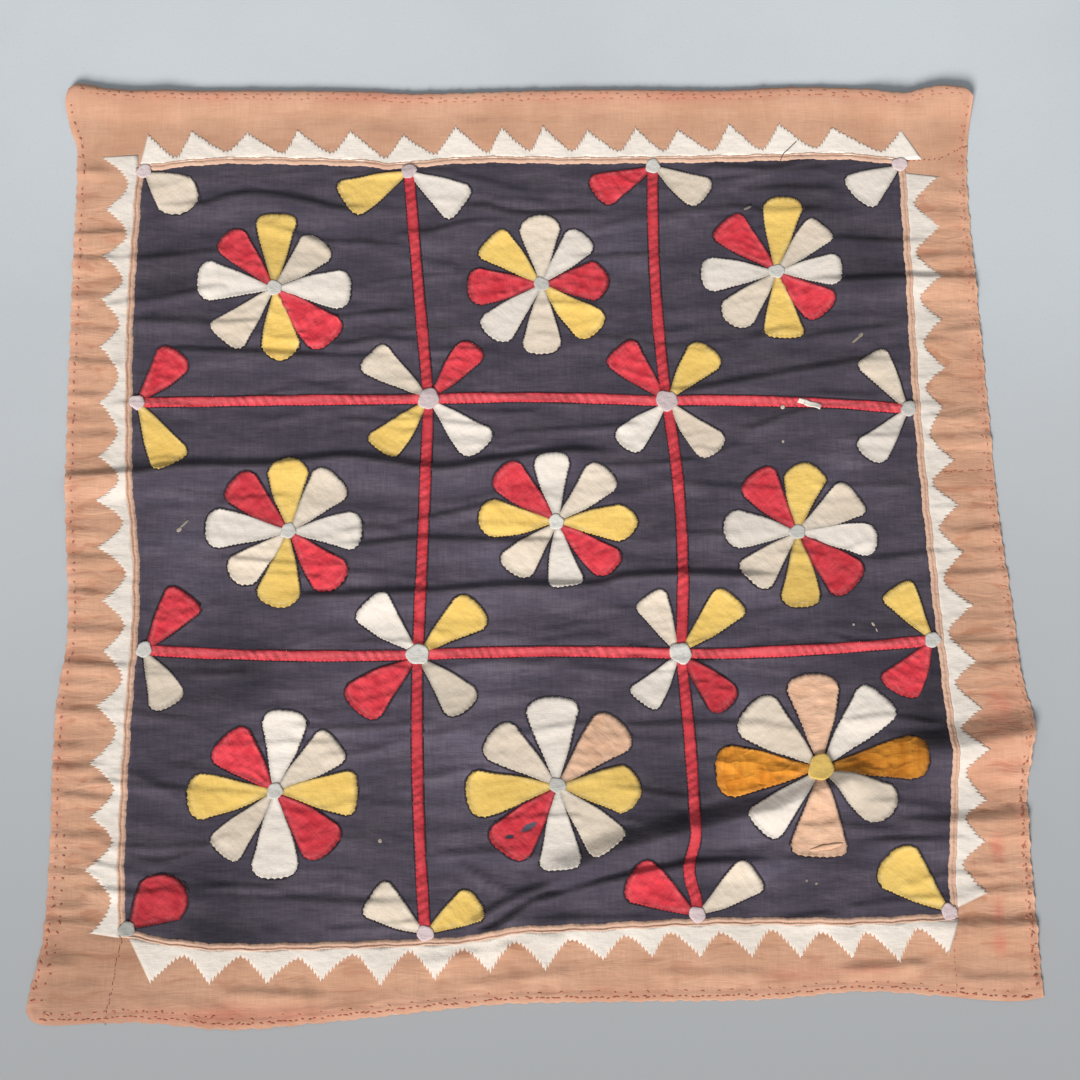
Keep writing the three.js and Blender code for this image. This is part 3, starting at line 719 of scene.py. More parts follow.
def cotton(name, colour, faded, shade, stain=(120, 70, 50), folded=None, streak=0.3, slub=0.4,
           cloud=(16, 16), threads=1300, crumple=(150, 150, 0.6), crease_shade=None, stiff=False):
    """Woven cotton: main colour, the colours of its faded clouds, of its shaded threads, of its
    stains and painted shade, and of its folded edges. The streak is how much the threads show, and the
    slub the share of it that thick and thin threads have. The crumple is its dents to the metre both ways
    and their depth, and the crease shade, if any, the colour of the painted shade in the deeper ones. Stiff
    cloth has sharp dents."""
    material, tree, shader = new_finish(name)
    places = tree.nodes.new("ShaderNodeUVMap")
    places.uv_map = "cut"
    places = places.outputs[0]
    warp = noise(tree, places, (threads, 60, 1))
    weft = noise(tree, places, (60, threads, 1))
    long_warp = noise(tree, places, (300, 24, 1), 3)
    long_weft = noise(tree, places, (24, 300, 1), 3)
    clouds = noise(tree, places, (*cloud, 1), 5)
    if stiff:
        dents = facets(tree, places, (*crumple[:2], 1))
    else:
        dents = noise(tree, places, (*crumple[:2], 1), 3, 0.5 if crease_shade else 0)
    weave = reckon(tree, "ADD", warp, weft)
    slubs = reckon(tree, "ADD", long_warp, long_weft)
    tinted = mix(tree, ramp(tree, clouds, 0.36, 0.68), rgb(*colour), rgb(*faded))
    tinted = mix(tree, ramp(tree, slubs, 1.2, 0.75, 0, streak * slub), tinted, rgb(*shade))
    tinted = mix(tree, ramp(tree, weave, 1.2, 0.8, 0, streak * 0.7), tinted, rgb(*shade))
    if crease_shade:
        valleys = reckon(tree, "MULTIPLY", ramp(tree, dents, 0.46, 0.32, 0, 0.5), mark(tree, "wear"))
        tinted = mix(tree, valleys, tinted, rgb(*crease_shade))
    tinted = mix(tree, mark(tree, "fold"), tinted, rgb(*(folded or colour)))
    stain_and_shade_share = reckon(tree, "MULTIPLY", mark(tree, "stain"), ramp(tree, clouds, 0.3, 0.6, 0.35))
    tinted = mix(tree, stain_and_shade_share, tinted, rgb(*stain))
    tinted = mix(tree, 1.0, tinted, reckon(tree, "ADD", 1.0, mark(tree, "tone")), "MULTIPLY")
    plug(tree, tinted, shader.inputs["Base Color"])
    for socket, value in CLOTH_SURFACE.items():
        shader.inputs[socket].default_value = value
    relief = reckon(tree, "MULTIPLY_ADD", slubs, 0.5, weave)
    bump = add(tree, "ShaderNodeBump", {"Strength": 0.35, "Distance": THREAD_RELIEF * MM, "Height": relief})
    strength = mark(tree, "wear") if crease_shade else 1.0
    bump = add(tree, "ShaderNodeBump", {"Strength": strength, "Distance": 2 * crumple[2] * MM,
                                        "Height": dents, "Normal": bump})
    plug(tree, bump, shader.inputs["Normal"])
    return material


print("cloth surface:", CLOTH_SURFACE)

# %% [markdown]
# ## The cottons of this panel
# The cloths are old and faded, so none has a pure colour. Each gets a main colour, a faded one and a
# shaded one. The red, orange and rose patches are a coarser stuff that crumples more than the white ones.

# %% Cottons
# The stain colour of the indigo only serves the painted shade of the dark rims round patches and tapes.
INDIGO = cotton("indigo_cotton", (73, 67, 79), (91, 83, 94), (44, 40, 51), stain=(24, 21, 27),
                folded=(104, 95, 104), streak=0.42, slub=0.55, cloud=(15, 46), crumple=(50, 105, 0.8))
# The crease colour of the peach is painted shade in the deeper dents of the border.
PEACH = cotton("peach_cotton", (218, 171, 142), (205, 157, 128), (183, 130, 104), stain=(210, 106, 92),
               folded=(215, 162, 142), streak=0.4, crumple=(26, 80, 0.95), crease_shade=(176, 112, 84))
# The folded colour of the edging is the painted shade in the valley between its rolls.
EDGING = cotton("edging_cotton", (216, 180, 157), (206, 168, 145), (184, 140, 120), folded=(166, 120, 102))
WHITE = cotton("white_cotton", (236, 226, 216), (230, 219, 208), (212, 200, 188), crumple=(95, 120, 0.45))
ECRU = cotton("ecru_cotton", (231, 216, 198), (221, 204, 185), (204, 185, 163), streak=0.35,
              folded=(238, 227, 213), crumple=(95, 120, 0.5))
YELLOW = cotton("yellow_cotton", (243, 207, 117), (234, 195, 105), (216, 170, 82), folded=(245, 221, 158),
                streak=0.35, crumple=(95, 120, 0.55))
RED = cotton("red_cotton", (230, 76, 86), (208, 55, 67), (170, 34, 48), folded=(232, 122, 126),
             stain=(40, 24, 32), streak=0.45, cloud=(55, 70), crumple=(80, 100, 1.2))
ORANGE = cotton("orange_cotton", (232, 154, 54), (202, 122, 36), (164, 90, 24), folded=(236, 178, 96),
                streak=0.4, cloud=(40, 70), crumple=(62, 40, 2.0), stiff=True)
ROSE = cotton("rose_cotton", (224, 184, 155), (212, 169, 140), (196, 148, 120), folded=(230, 196, 172),
              streak=0.35, cloud=(40, 60), crumple=(60, 100, 1.0))
GREY = cotton("grey_cotton", (212, 209, 203), (203, 200, 194), (178, 175, 169), streak=0.35)
LILAC = cotton("lilac_cotton", (207, 190, 190), (195, 176, 178), (174, 154, 158), streak=0.35)
THREAD = cotton("red_thread", (184, 116, 96), (174, 104, 86), (152, 86, 70), streak=0.4)
FADED_THREAD = cotton("faded_thread", (202, 140, 115), (194, 130, 106), (174, 110, 88), streak=0.4)
# The tan thread stands for the shade in the notches of the teeth, as painted shade.
TAN_NOTCH_SHADE = cotton("tan_notch_shade_thread", (198, 150, 122), (188, 138, 110), (164, 116, 92), streak=0.4)
BROWN = cotton("brown_thread", (150, 100, 84), (136, 88, 74), (110, 70, 60), streak=0.4)
print(len(bpy.data.materials), "materials")

# %% [markdown]
# ## The ground
# The middle of the panel is one square of indigo cotton, faded to a purple grey and worn a little
# paler along the creases. Its edges run on under the edging. The grid is spread between the four edge
# lines, so the weave bends with the cloth. The far side of a fold is darkened a little more than the
# lamp does it, because the folds of the real cloth are finer than the grid.

# %% Ground
# How far the ground runs on under the edging.
SEAM_OUT = 3
GROUND_COLUMNS = 124
GROUND_ROWS = 320
# Step over which the height of a crest is measured, its fade for each mm and the most that it fades.
CREST_STEP, CREST_FADE, MOST_FADED = 9, 0.05, 0.25
# Step over which a slope is measured, its limits and its shade.
SLOPE_STEP, SLOPE_LIMITS, SLOPE_SHADE = 4, (-0.2, 0.45), 0.8
CLOUD_GAIN = 1.2
# Faded and darker places of the ground, some of them painted shade beyond folds: middle, radius,
# change of tone.
GROUND_TONES_AND_SHADE = [
    (-160, -240, 130, 0.26), (-40, -110, 80, 0.07), (250, 170, 150, -0.1), (110, -300, 80, -0.14),
    (-345, -125, 60, -0.12), (-345, -300, 75, -0.12), (350, -130, 60, -0.22), (-60, 20, 120, 0.06),
    (-20, -245, 70, 0.2), (-332, -58, 50, 0.28), (235, -60, 60, 0.24), (235, -245, 60, 0.2),
    (150, -358, 45, -0.14), (130, -282, 38, -0.2), (115, -326, 22, 0.15), (190, -318, 24, 0.15),
    (-240, -250, 55, 0.22), (-45, -250, 50, 0.15), (48, -247, 45, 0.22), (-331, -155, 45, -0.14),
    (395, -155, 40, -0.22), (330, -250, 40, -0.1), (-305, -395, 45, -0.42), (280, 349, 42, -0.36),
    (-365, 275, 38, -0.35), (350, 275, 40, -0.32), (-155, -290, 40, -0.34), (-278, -145, 36, -0.36),
    (300, 52, 36, 0.46), (-350, -5, 40, 0.4), (92, 300, 32, 0.46), (220, -343, 26, 0.5),
    (-60, -232, 30, 0.38), (-50, -145, 34, 0.36), (196, -170, 34, 0.42), (380, -210, 30, -0.36),
    (7, -395, 28, -0.35), (-41, -46, 26, 0.42),
]


def ground_edge(side, shares):
    """Points along a side of the ground at shares of its length, run on to mitred corners."""
    line = spaced(LINES["ground"][side], shares)
    mitre = np.multiply.outer(SEAM_OUT * (2 * shares - 1), ALONG[side])
    return line + mitre + SEAM_OUT * np.array(OUT[side])


def toned(x, y, rows):
    """Soft round clouds of a lighter or darker tone."""
    return sum(change * np.exp(-((x - a) ** 2 + (y - b) ** 2) / radius**2) for a, b, radius, change in rows)


across = np.linspace(0, 1, GROUND_COLUMNS + 1)
upward = np.linspace(0, 1, GROUND_ROWS + 1)
x, y = between(ground_edge("bottom", across), ground_edge("top", across),
               ground_edge("left", upward)[::-1], ground_edge("right", upward)[::-1], across, upward)
under = rest(x, y)
crest = under - rest(x, y + CREST_STEP)
falling = np.clip((under - rest(x, y + SLOPE_STEP)) / SLOPE_STEP, *SLOPE_LIMITS)
square = slab(x, y, under, under + CLOTH, fold=np.clip(crest * CREST_FADE, 0, MOST_FADED),
              tone=CLOUD_GAIN * toned(x, y, GROUND_TONES_AND_SHADE) - SLOPE_SHADE * falling)
ground = piece("ground_cloth", [square], [INDIGO], "indigo_cotton", "ground")
print("ground of", triangles(ground), "triangles")

# %% [markdown]
# ## Marks of the border
# Five strips of peach cotton frame the ground. Their outer edge is turned in twice, which makes the hem a
# thicker, pinker band, and the red of the thread has run into the cloth here and there. These marks are
# short tables by side or place. The stitches draw the cloth in, so small puckers run from the hem
# towards the ground; their places are left to chance.

# %% Border marks
# How far the pink of the hem reaches in from each side, over what width it fades, and its strength.
HEM_PINK = {"top": (14, 5, 0.25), "right": (10, 4, 0.15), "bottom": (14, 5, 0.2), "left": (9, 4, 0.25)}
# How much lighter or darker the cloth is near each hem: how far in, over what width it fades, change.
# On the right this is painted light on the side of the hem that faces away from the lamp.
HEM_TONE = {"top": (18, 3, -0.1), "right": (1.4, 0.5, 0.4), "bottom": (3, 0.8, -0.16), "left": (0, 1, 0)}
# Puckers of each side: start and end along it, least and greatest height, count.
PUCKER_ROWS = {"left": (-400, 465, 0.4, 1.3, 46), "right": (-400, 465, 0.4, 1.2, 44),
               "top": (-470, 455, 0.2, 0.7, 36), "bottom": (-470, 465, 0.3, 0.9, 44)}
PUCKER_WIDTHS = (3, 7)
# Short puckers: side, place along it, width, height.
PUCKERS = [(side, CHANCE.uniform(start, end), CHANCE.uniform(*PUCKER_WIDTHS), CHANCE.uniform(low, high))
           for side, (start, end, low, high, count) in PUCKER_ROWS.items() for _ in range(count)]
# Red stains on the border: middle, half width, half height, strength.
STAINS = [
    (449, -197, 12, 20, 0.5), (437, -330, 6, 15, 0.5), (435, -388, 5, 11, 0.7), (434, -420, 6, 10, 0.5),
    (456, -252, 9, 7, 0.5), (311, -441, 28, 5, 0.35), (248, -446, 30, 8, 0.25), (440, -250, 30, 50, 0.12),
    (-150, 468, 60, 7, 0.3), (130, 464, 90, 7, 0.3), (-330, 470, 60, 7, 0.3), (-300, -474, 80, 8, 0.5),
]
# Browner places of the border: middle, radius, change of tone.
BORDER_TONES = [
    (-445, -440, 85, -0.24), (-430, -230, 110, -0.08), (435, -110, 75, -0.13), (430, 120, 150, -0.06),
    (-330, -445, 90, -0.1), (430, -300, 30, -0.1), (430, -430, 60, -0.06), (420, 440, 60, -0.04),
]
print(len(PUCKERS), "puckers,", len(STAINS), "stains")

# %% [markdown]
# ## The height of the border
# The border follows the creases like the ground. On top of that come the puckers, the doubled band of the
# hem and the groove that its stitches press. All of them depend on the distance from the hem, so that
# distance is worked out first.

# %% Border height
# The band of the hem: width, how softly it ends and rise. Its very edge: share of the height and roll.
HEM_BAND, HEM_SOFT, HEM_RISE = 10.5, 1.2, 0.45
HEM_EDGE, HEM_ROLL = 0.3, 1.5
# The groove that the stitches press.
GROOVE_PLACE, GROOVE_WIDTH, GROOVE_DEPTH = 9.4, 1.4, 0.35
# Where puckers are highest and how far they reach, as distances in, and where the border starts.
PUCKER_PLACE, PUCKER_REACH = 14, 22
BORDER_START = 395


def side_distance(x, y, side):
    """How far points lie in from one side of the hem."""
    line = LINES["hem"][side]
    place = x * ALONG[side][0] + y * ALONG[side][1]
    out = x * OUT[side][0] + y * OUT[side][1]
    return np.maximum(np.interp(place, line @ ALONG[side], line @ OUT[side]) - out, 0)


def hem_distance(x, y):
    """How far points lie from the nearest hem."""
    return np.min([side_distance(x, y, side) for side in HEM], axis=0)


def fading(distance, reach, fade):
    """1 near the hem and 0 far from it, with a soft step between."""
    return 1 / (1 + np.exp((distance - reach) / fade))


def along_hem(x, y, rows):
    """A value for each side that fades with the distance in from the hem."""
    return sum(value * fading(side_distance(x, y, side), reach, fade)
               for side, (reach, fade, value) in rows.items())


def wear_and_shade(x, y):
    """How strongly the border crumples: little along the top, most on the left and on the right.
    This also sets how strong the painted shade in its dents is.
    """
    return np.clip((400 - y) / 60, 0.22, 1) * np.clip((y + 480) / 80, 0.6, 1)


def puckers(x, y, inside):
    """Ridges that run in from the hem."""
    total = np.zeros_like(x)
    for side, place, width, height in PUCKERS:
        along = x * ALONG[side][0] + y * ALONG[side][1]
        out = x * OUT[side][0] + y * OUT[side][1]
        total += height * bell(along, place, width) * (out > BORDER_START)
    return total * bell(inside, PUCKER_PLACE, PUCKER_REACH)


def border_top(x, y):
    """The upper side of the border, with the hem band."""
    inside = hem_distance(x, y)
    band = HEM_RISE * fading(inside, HEM_BAND, HEM_SOFT)
    rolled = HEM_EDGE + (1 - HEM_EDGE) * (1 - np.exp(-inside / HEM_ROLL))
    groove = GROOVE_DEPTH * bell(inside, GROOVE_PLACE, GROOVE_WIDTH)
    return rest(x, y) + puckers(x, y, inside) + (CLOTH + band) * rolled - groove


hem_middles = np.array([line[len(line) // 2] for line in LINES["hem"].values()])
print("the hems stand", border_top(*hem_middles.T).round(1), "mm high at their middles")

# %% [markdown]
# ## The border strips
# A strip is a grid between its hem and its seam. Its rows crowd together at the hem, where the cloth
# bends most, and its hem line is drawn in a little at every stitch. The seams at the corners aren't
# mitred: one strip runs on and the next one meets it.

# %% Border strips
# Shares of the way from the seam to the hem.
STRIP_ROWS = np.concatenate([[0, 0.004], np.linspace(0.05, 0.8, 16),
                             [0.84, 0.86, 0.88, 0.90, 0.93, 0.96, 0.98, 0.99, 1]])
# Share of the length between an end of a strip and its next column.
STRIP_END = 0.0004
# How stitches draw the hem in and out: pitch, depth, and the length over which it dies out at both ends.
HEM_PITCH, HEM_DRAWN, HEM_END = 10.4, 0.6, 8
# Red that has run out of the thread: strength, distance in and width.
RED_RUN, RED_PLACE, RED_WIDTH = 0.12, 7, 5
# The far side of a fold: step over which it is measured, most that counts, shade, and least distance in.
FAR_STEP, FAR_MOST, FAR_SHADE, FAR_CLEAR = 4, 2, 0.07, 12
# Seams between the strips, from the ground out.
TL_SEAM = [(-401.2, 391.2), (-467, 405.6)]
TR_SEAM = [(386.3, 386.2), (424, 388), (440, 397), (455.6, 403)]
R_SEAM = [(388.2, 47.4), (459.6, 50.4)]
BL_SEAM = [(-393.2, -397.3), (-400, -440), (-407, -481.2)]
BR_SEAM = [(392, -393.2), (390.4, -468.4)]


def border_strip(name, outer, inner, start, end, steps):
    """A strip between its hem and its seam. The lines run along it, the ends from the seam out."""
    along = np.linspace(0, 1, steps + 1)
    along[[1, -2]] = STRIP_END, 1 - STRIP_END
    hem = spaced(outer, along)
    arc = np.cumsum(np.hypot(*np.gradient(hem, axis=0).T))
    drawn = HEM_DRAWN * np.sin(arc * TURN / HEM_PITCH + 2 * np.sin(arc / 37)) + 0.5 * np.sin(arc / 4.3 + 1)
    drawn *= np.clip(np.minimum(arc, arc[-1] - arc) / HEM_END - 1, 0, 1)
    hem += left_of(hem) * drawn[:, None]
    x, y = between(spaced(inner, along), hem, spaced(start, STRIP_ROWS), spaced(end, STRIP_ROWS),
                   along, STRIP_ROWS)
    inside = hem_distance(x, y)
    stain = sum(force * bell(x, a, wide) * bell(y, b, high) for a, b, wide, high, force in STAINS)
    blotch = np.convolve(CHANCE.uniform(0, 1, steps + 3), [0.3, 0.4, 0.3], "valid")
    red = RED_RUN * CHANCE.uniform(0, 1, x.shape) * bell(inside, RED_PLACE, RED_WIDTH)
    band = (0.4 + 1.2 * blotch) * along_hem(x, y, HEM_PINK)
    falling = border_top(x, y - FAR_STEP) - border_top(x, y + FAR_STEP)
    far_side = np.clip(falling, 0, FAR_MOST) * (inside > FAR_CLEAR)
    tone = toned(x, y, BORDER_TONES) + along_hem(x, y, HEM_TONE) - FAR_SHADE * far_side
    strip = slab(x, y, rest(x, y), border_top(x, y), stain=np.clip(stain + red, 0, 1),
                 fold=np.clip(band, 0, 1), tone=tone, wear=wear_and_shade(x, y))
    return piece(name + "_cloth", [strip], [PEACH], "peach_cotton", name)


def part_of(outline, side, start, end, out=0.0):
    """Points along a side between two places."""
    return beside(outline, side, np.linspace(start, end, 120), out)


BORDERS = [
    border_strip("border_top", part_of("hem", "top", -478, 464),
                 [TL_SEAM[1], TL_SEAM[0], *part_of("ground", "top", -397, 382, SEAM_OUT), *TR_SEAM],
                 [TL_SEAM[1], *part_of("hem", "left", -406, -481)],
                 [TR_SEAM[-1], *part_of("hem", "right", -404, -457)], 300),
    border_strip("border_left", part_of("hem", "left", -405, 470),
                 [TL_SEAM[0], *part_of("ground", "left", -388, 394, SEAM_OUT), *BL_SEAM],
                 TL_SEAM, [BL_SEAM[-1], *part_of("hem", "bottom", -408, -481)], 290),
    border_strip("border_right_upper", part_of("hem", "right", -402.6, -50.6),
                 [TR_SEAM[0], *part_of("ground", "right", -382, -48.5, SEAM_OUT), R_SEAM[0]],
                 TR_SEAM, R_SEAM, 110),
    border_strip("border_right_lower", part_of("hem", "right", -50, 470),
                 [R_SEAM[0], *part_of("ground", "right", -47, 390, SEAM_OUT), BR_SEAM[0], BR_SEAM[1]],
                 R_SEAM, [BR_SEAM[1], *part_of("hem", "bottom", 392, 472)], 170),
    border_strip("border_bottom", part_of("hem", "bottom", -406.7, 390),
                 [BL_SEAM[0], *part_of("ground", "bottom", -390, 389, SEAM_OUT), BR_SEAM[0]],
                 BL_SEAM, BR_SEAM, 256),
]
print("border:", {strip.name: triangles(strip) for strip in BORDERS})

# %% [markdown]
# ## The hem stitches
# Red thread runs along the hem in stitches of about four millimetres. The gaps between them are longer
# on three sides, and short along the bottom. The stitches are copied along the band of the hem
# in one row or more. Hand sewing is never even, so place, length and direction of each are left to
# chance. Shorter stitches of the same thread close the seams between the strips.

# %% Running stitches
RUNNING_HEIGHT, RUNNING_LIFT = 0.45, 0.05
UNEVEN_LENGTH = (0.55, 1.2)
# How far chance moves a stitch: along its row, as a share of the pitch, and any way, in mm.
UNEVEN_PITCH, UNEVEN_PLACE = 0.18, 0.6


def running(line, pitch, length, width, sway=0.2, tone=0.0, tint=0):
    """Stitches along a line of points, hand spaced."""
    count = int(length_of(line) / pitch)
    shares = (np.arange(count) + 0.5 + CHANCE.normal(0, UNEVEN_PITCH, count)) / count
    middle = spaced(line, shares)
    run = spaced(line, np.clip(shares + 0.001, 0, 1)) - spaced(line, np.clip(shares - 0.001, 0, 1))
    run += CHANCE.normal(0, sway, run.shape) * np.hypot(*run.T)[:, None]
    middle += CHANCE.normal(0, UNEVEN_PLACE, middle.shape)
    places = np.column_stack([middle, border_top(*middle.T) + RUNNING_LIFT])
    size = (length * CHANCE.uniform(*UNEVEN_LENGTH, count), width, RUNNING_HEIGHT)
    return stitches(places, run, size, tint, (6, 4), tone=tone)


# Rows of the hem: side, start, end, distance out, then pitch, length, width, sway, tone and colour.
HEM_ROWS = [
    ("top", -470, 455, -9, 9.5, 4.6, 2.8, 0.35, -0.1, 1),
    ("top", -470, 455, -5.5, 13, 4.2, 2.4, 0.6, -0.06, 1),
    ("left", -470, 462, -6, 10.4, 4.6, 2.3, 0.3, 0.15, 0),
    ("right", -450, 462, -4.5, 9, 4.2, 1.9, 0.6, 0, 1),
    ("right", -450, 462, -8, 15, 3.8, 2.2, 0.5, 0.0, 1), ("right", 240, 462, -6, 7, 5.2, 2.4, 0.3, 0, 0),
    ("bottom", -470, 464, -4.1, 5.6, 4.8, 1.9, 0.2, 0.05, 0),
    ("bottom", -470, 464, -9, 16, 4, 2.2, 0.6, 0, 1),
    ("bottom", -470, -300, -10, 9, 4, 2.4, 0.7, -0.1, 0),
    ("left", 300, 462, -14, 10, 4, 2.4, 0.7, -0.1, 0), ("left", 390, 462, -4, 9, 4, 2.4, 0.7, -0.1, 0),
]
hem_rows = [running(part_of("hem", *row[:4]), *row[4:]) for row in HEM_ROWS]
# Rows of the seams: line, pitch, length, width, sway and tone.
SEAM_ROWS = [(TR_SEAM, 5.0, 3.6, 1.5, 0.6), (R_SEAM, 4.6, 3.6, 1.2, 0.4), (BR_SEAM, 6.5, 2.4, 0.9),
             (BL_SEAM, 3.4, 3.6, 0.8, 0.05, -0.55)]
seam_rows = [running(np.array(line), *row) for line, *row in SEAM_ROWS]
hem_stitches = piece("hem_stitches", hem_rows + seam_rows, [THREAD, FADED_THREAD], "red_cotton")
print("running stitches:", triangles(hem_stitches), "triangles")

# %% [markdown]
# ## The edging
# A narrow fold of pale peach cloth covers the raw edge of the ground. A line of brown stitches along
# its middle presses it into two little rolls. The rolls are two humps across a long thin grid, and the
# stitches lie in the valley between them. A bent tube would be rounder, but the fold is flat underneath.

# %% Edging
# The rolls: where they start and end, in mm out from the ground, height at their feet, rise and spread.
ROLLS_START, ROLLS_END = 0.8, 7.5
ROLL_FOOT, ROLL_RISE, ROLL_SPREAD = 0.25, 1.05, 0.37
# Pitch of the stitches that bead the rolls, then pitch and depth of the pull at the inner edge.
BEAD_PITCH = 3.1
PULL_PITCH, PULL_DEPTH = 7.2, 0.9
# Length, width and height of a stitch, and its lift over the cloth.
EDGING_STITCH, EDGING_LIFT = (2.0, 0.7, 0.6), 0.55
# Where the valley of the edging lies on each side, in mm out from the ground, and how dark the painted
# shade in it is.
EDGING_LINE = {"top": (5.2, 0.35), "right": (4.2, 0.25), "bottom": (4.9, 0.4), "left": (4.6, 0.7)}


def edging_rolls(out, place, valley):
    """Height of the two rolls over the cloth, beaded by the stitches."""
    first = bell(out, (valley + ROLLS_START) / 2, ROLL_SPREAD * (valley - ROLLS_START))
    second = bell(out, (valley + ROLLS_END) / 2, ROLL_SPREAD * (ROLLS_END - valley))
    beads = 1 + 0.16 * np.sin(place * TURN / BEAD_PITCH) + 0.12 * np.sin(place / 9 + out)
    return ROLL_FOOT + ROLL_RISE * beads * (first + second)


def on_cloth(points, lift):
    """Places at a height over the upper side of the ground or the border."""
    return np.column_stack([points, rest(*points.T) + CLOTH + lift])


def edging_strip(side):
    """One side of the edging, from corner to corner."""
    start, end = ends("ground", side)
    place = np.linspace(start - 4, end + 4, 370)
    valley, depth = EDGING_LINE[side]
    inner = valley - (valley - ROLLS_START) * np.array([0.85, 0.62, 0.4, 0.18])
    outer = valley + (ROLLS_END - valley) * np.array([0.18, 0.42, 0.65, 0.86])
    out = np.concatenate([[0, 0.3], inner, [valley], outer, [ROLLS_END]])
    wander = 0.45 * np.sin(place / 7.3) + 0.3 * np.sin(place / 3.1 + 1)
    pulled = PULL_DEPTH * np.abs(np.sin(place * TURN / (2 * PULL_PITCH) + np.sin(place / 31))) ** 0.5
    lean = np.clip(1 - out / 3, 0, 1)
    points = np.stack([beside("ground", side, place, each + wander - (pulled - 0.5) * share)
                       for each, share in zip(out, lean)])
    x, y = np.moveaxis(points, 2, 0)
    out = out[:, None]
    over = rest(x, y) + CLOTH
    rolls = edging_rolls(out, place, valley)
    rolls[[0, -1]] = -0.2
    # The darker valley is painted shade.
    strip = slab(x, y, over - 0.6, over + rolls, cut=(place, out), fold=depth * bell(out, valley, 0.7))
    spots = np.arange(start + 5, end - 5, BEAD_PITCH)
    spots = spots + CHANCE.normal(0, 0.25, len(spots))
    middle = beside("ground", side, spots, valley + CHANCE.normal(0, 0.2, len(spots)))
    run = np.tile(ALONG[side], (len(spots), 1)) + CHANCE.normal(0, 0.12, (len(spots), 2))
    sewn = stitches(on_cloth(middle, EDGING_LIFT), run, EDGING_STITCH, tint=1, tone=0.8 - depth)
    return piece(f"edging_{side}_cloth", [strip, sewn], [EDGING, BROWN], "edging_cotton", f"edging_{side}")


EDGINGS = {side: edging_strip(side) for side in OUT}
print("edging:", {side: triangles(strip) for side, strip in EDGINGS.items()})

# %% [markdown]
# ## The teeth
# A strip of white cotton lies along each side, snipped at intervals and turned under between the snips,
# which leaves pointed teeth with round valleys. Whip stitches hold the folded edge and notch it finely.
# They were snipped by eye, so a table gives the place and the reach of every tip, and a formula rounds
# the valleys between them.

# %% Line of the teeth
# How far out the valleys lie, and how far chance moves them, out and as a share of the way between tips.
TOOTH_VALLEY, UNEVEN_VALLEY, UNEVEN_DIP = 15, 1.5, 0.03
# side: start and end of the strip, roundness of its valleys, where they lie between the tips at the first
# and at the last tooth, place and reach of each tip
TEETH = {
    "top": (-402, 408, 1.08, (0.68, 0.68), [
        (-394, 44), (-349, 42), (-291, 38), (-239, 41), (-184, 42), (-129, 41), (-75, 45), (-27, 43),
        (16, 45), (62, 41), (112, 43), (156, 40), (209, 46), (261, 44), (316, 38), (387, 41)]),
    "right": (-374, 386, 1.15, (0.55, 0.42), [
        (-369, 42), (-314, 42), (-258, 40), (-211, 36), (-159, 37), (-117, 31), (-61, 38), (-14, 38),
        (35, 37), (89, 41), (146, 38), (193, 38), (235, 38), (283, 37), (323, 36), (371, 38)]),
    "bottom": (-388, 397, 1.2, (0.54, 0.37), [
        (-365, 46), (-310, 40), (-256, 39), (-205, 38), (-149, 45), (-98, 41), (-46, 39), (6, 44),
        (61, 36), (107, 36), (152, 38), (201, 39), (246, 39), (295, 40), (339, 45), (385, 41)]),
    "left": (-407, 402, 1.35, (0.56, 0.47), [
        (-405, 46), (-346, 37), (-294, 37), (-246, 38), (-195, 35), (-135, 34), (-78, 36), (-32, 40),
        (17, 43), (72, 39), (122, 35), (177, 38), (234, 40), (286, 37), (337, 40), (397, 35)]),
}


def tooth_line(roundness, dips, tips):
    """Places and distances out along the teeth, from the first tip to the last."""
    places, reaches = [], []
    shares = np.linspace(*dips, len(tips) - 1) + CHANCE.normal(0, UNEVEN_DIP, len(tips) - 1)
    for (place, reach), (beyond, next_reach), share in zip(tips, tips[1:], shares):
        valley = TOOTH_VALLEY + CHANCE.uniform(-UNEVEN_VALLEY, UNEVEN_VALLEY)
        dip = place + share * (beyond - place)
        u = np.linspace(-1, 1, 41)[:-1]
        rise = np.abs(np.sqrt(u**2 + 0.012) - 0.11) ** roundness / 0.896**roundness
        places.append(dip + u * np.where(u < 0, dip - place, beyond - dip))
        reaches.append(valley + (np.where(u < 0, reach, next_reach) - valley) * rise)
    return np.append(np.concatenate(places), tips[-1][0]), np.append(np.concatenate(reaches), tips[-1][1])


print({side: len(row[-1]) for side, row in TEETH.items()}, "teeth")

# %% [markdown]
# ## The saw-tooth strips
# The grid of a strip runs from its straight inner edge to the line of the teeth. Its rows crowd together
# at the teeth, where the cloth turns under, and at the corners its base is eased to the mitre. The
# stitches are tan and lie in the notches, so that they show as small dots along the white edge: they
# stand for the shade in the notches, which is painted shade. The rim is tinted brown as painted shade too.

# %% Saw-tooth strips
# Where the strip starts, in mm out from the ground, then pitch and pull of its whip stitches.
TOOTH_SEAM = 5.6
TOOTH_PITCH = 4.6
SNIP_DEPTH = 2.7
# Length, width and height of a whip stitch, its lift over the cloth and how far out it lies from the rim.
TOOTH_STITCH, TOOTH_LIFT, TOOTH_OUT = (2.2, 1.5, 0.25), 0.1, 0.7
# Length over which the base is eased to the mitre.
STRIP_EASE = 25
TOOTH_ROWS = np.array([0, 0.15, 0.3, 0.45, 0.6, 0.75, 0.87, 0.95, 1])
TOOTH_TONE = {"top": 0.1, "right": -0.06, "bottom": 0.0, "left": -0.03}


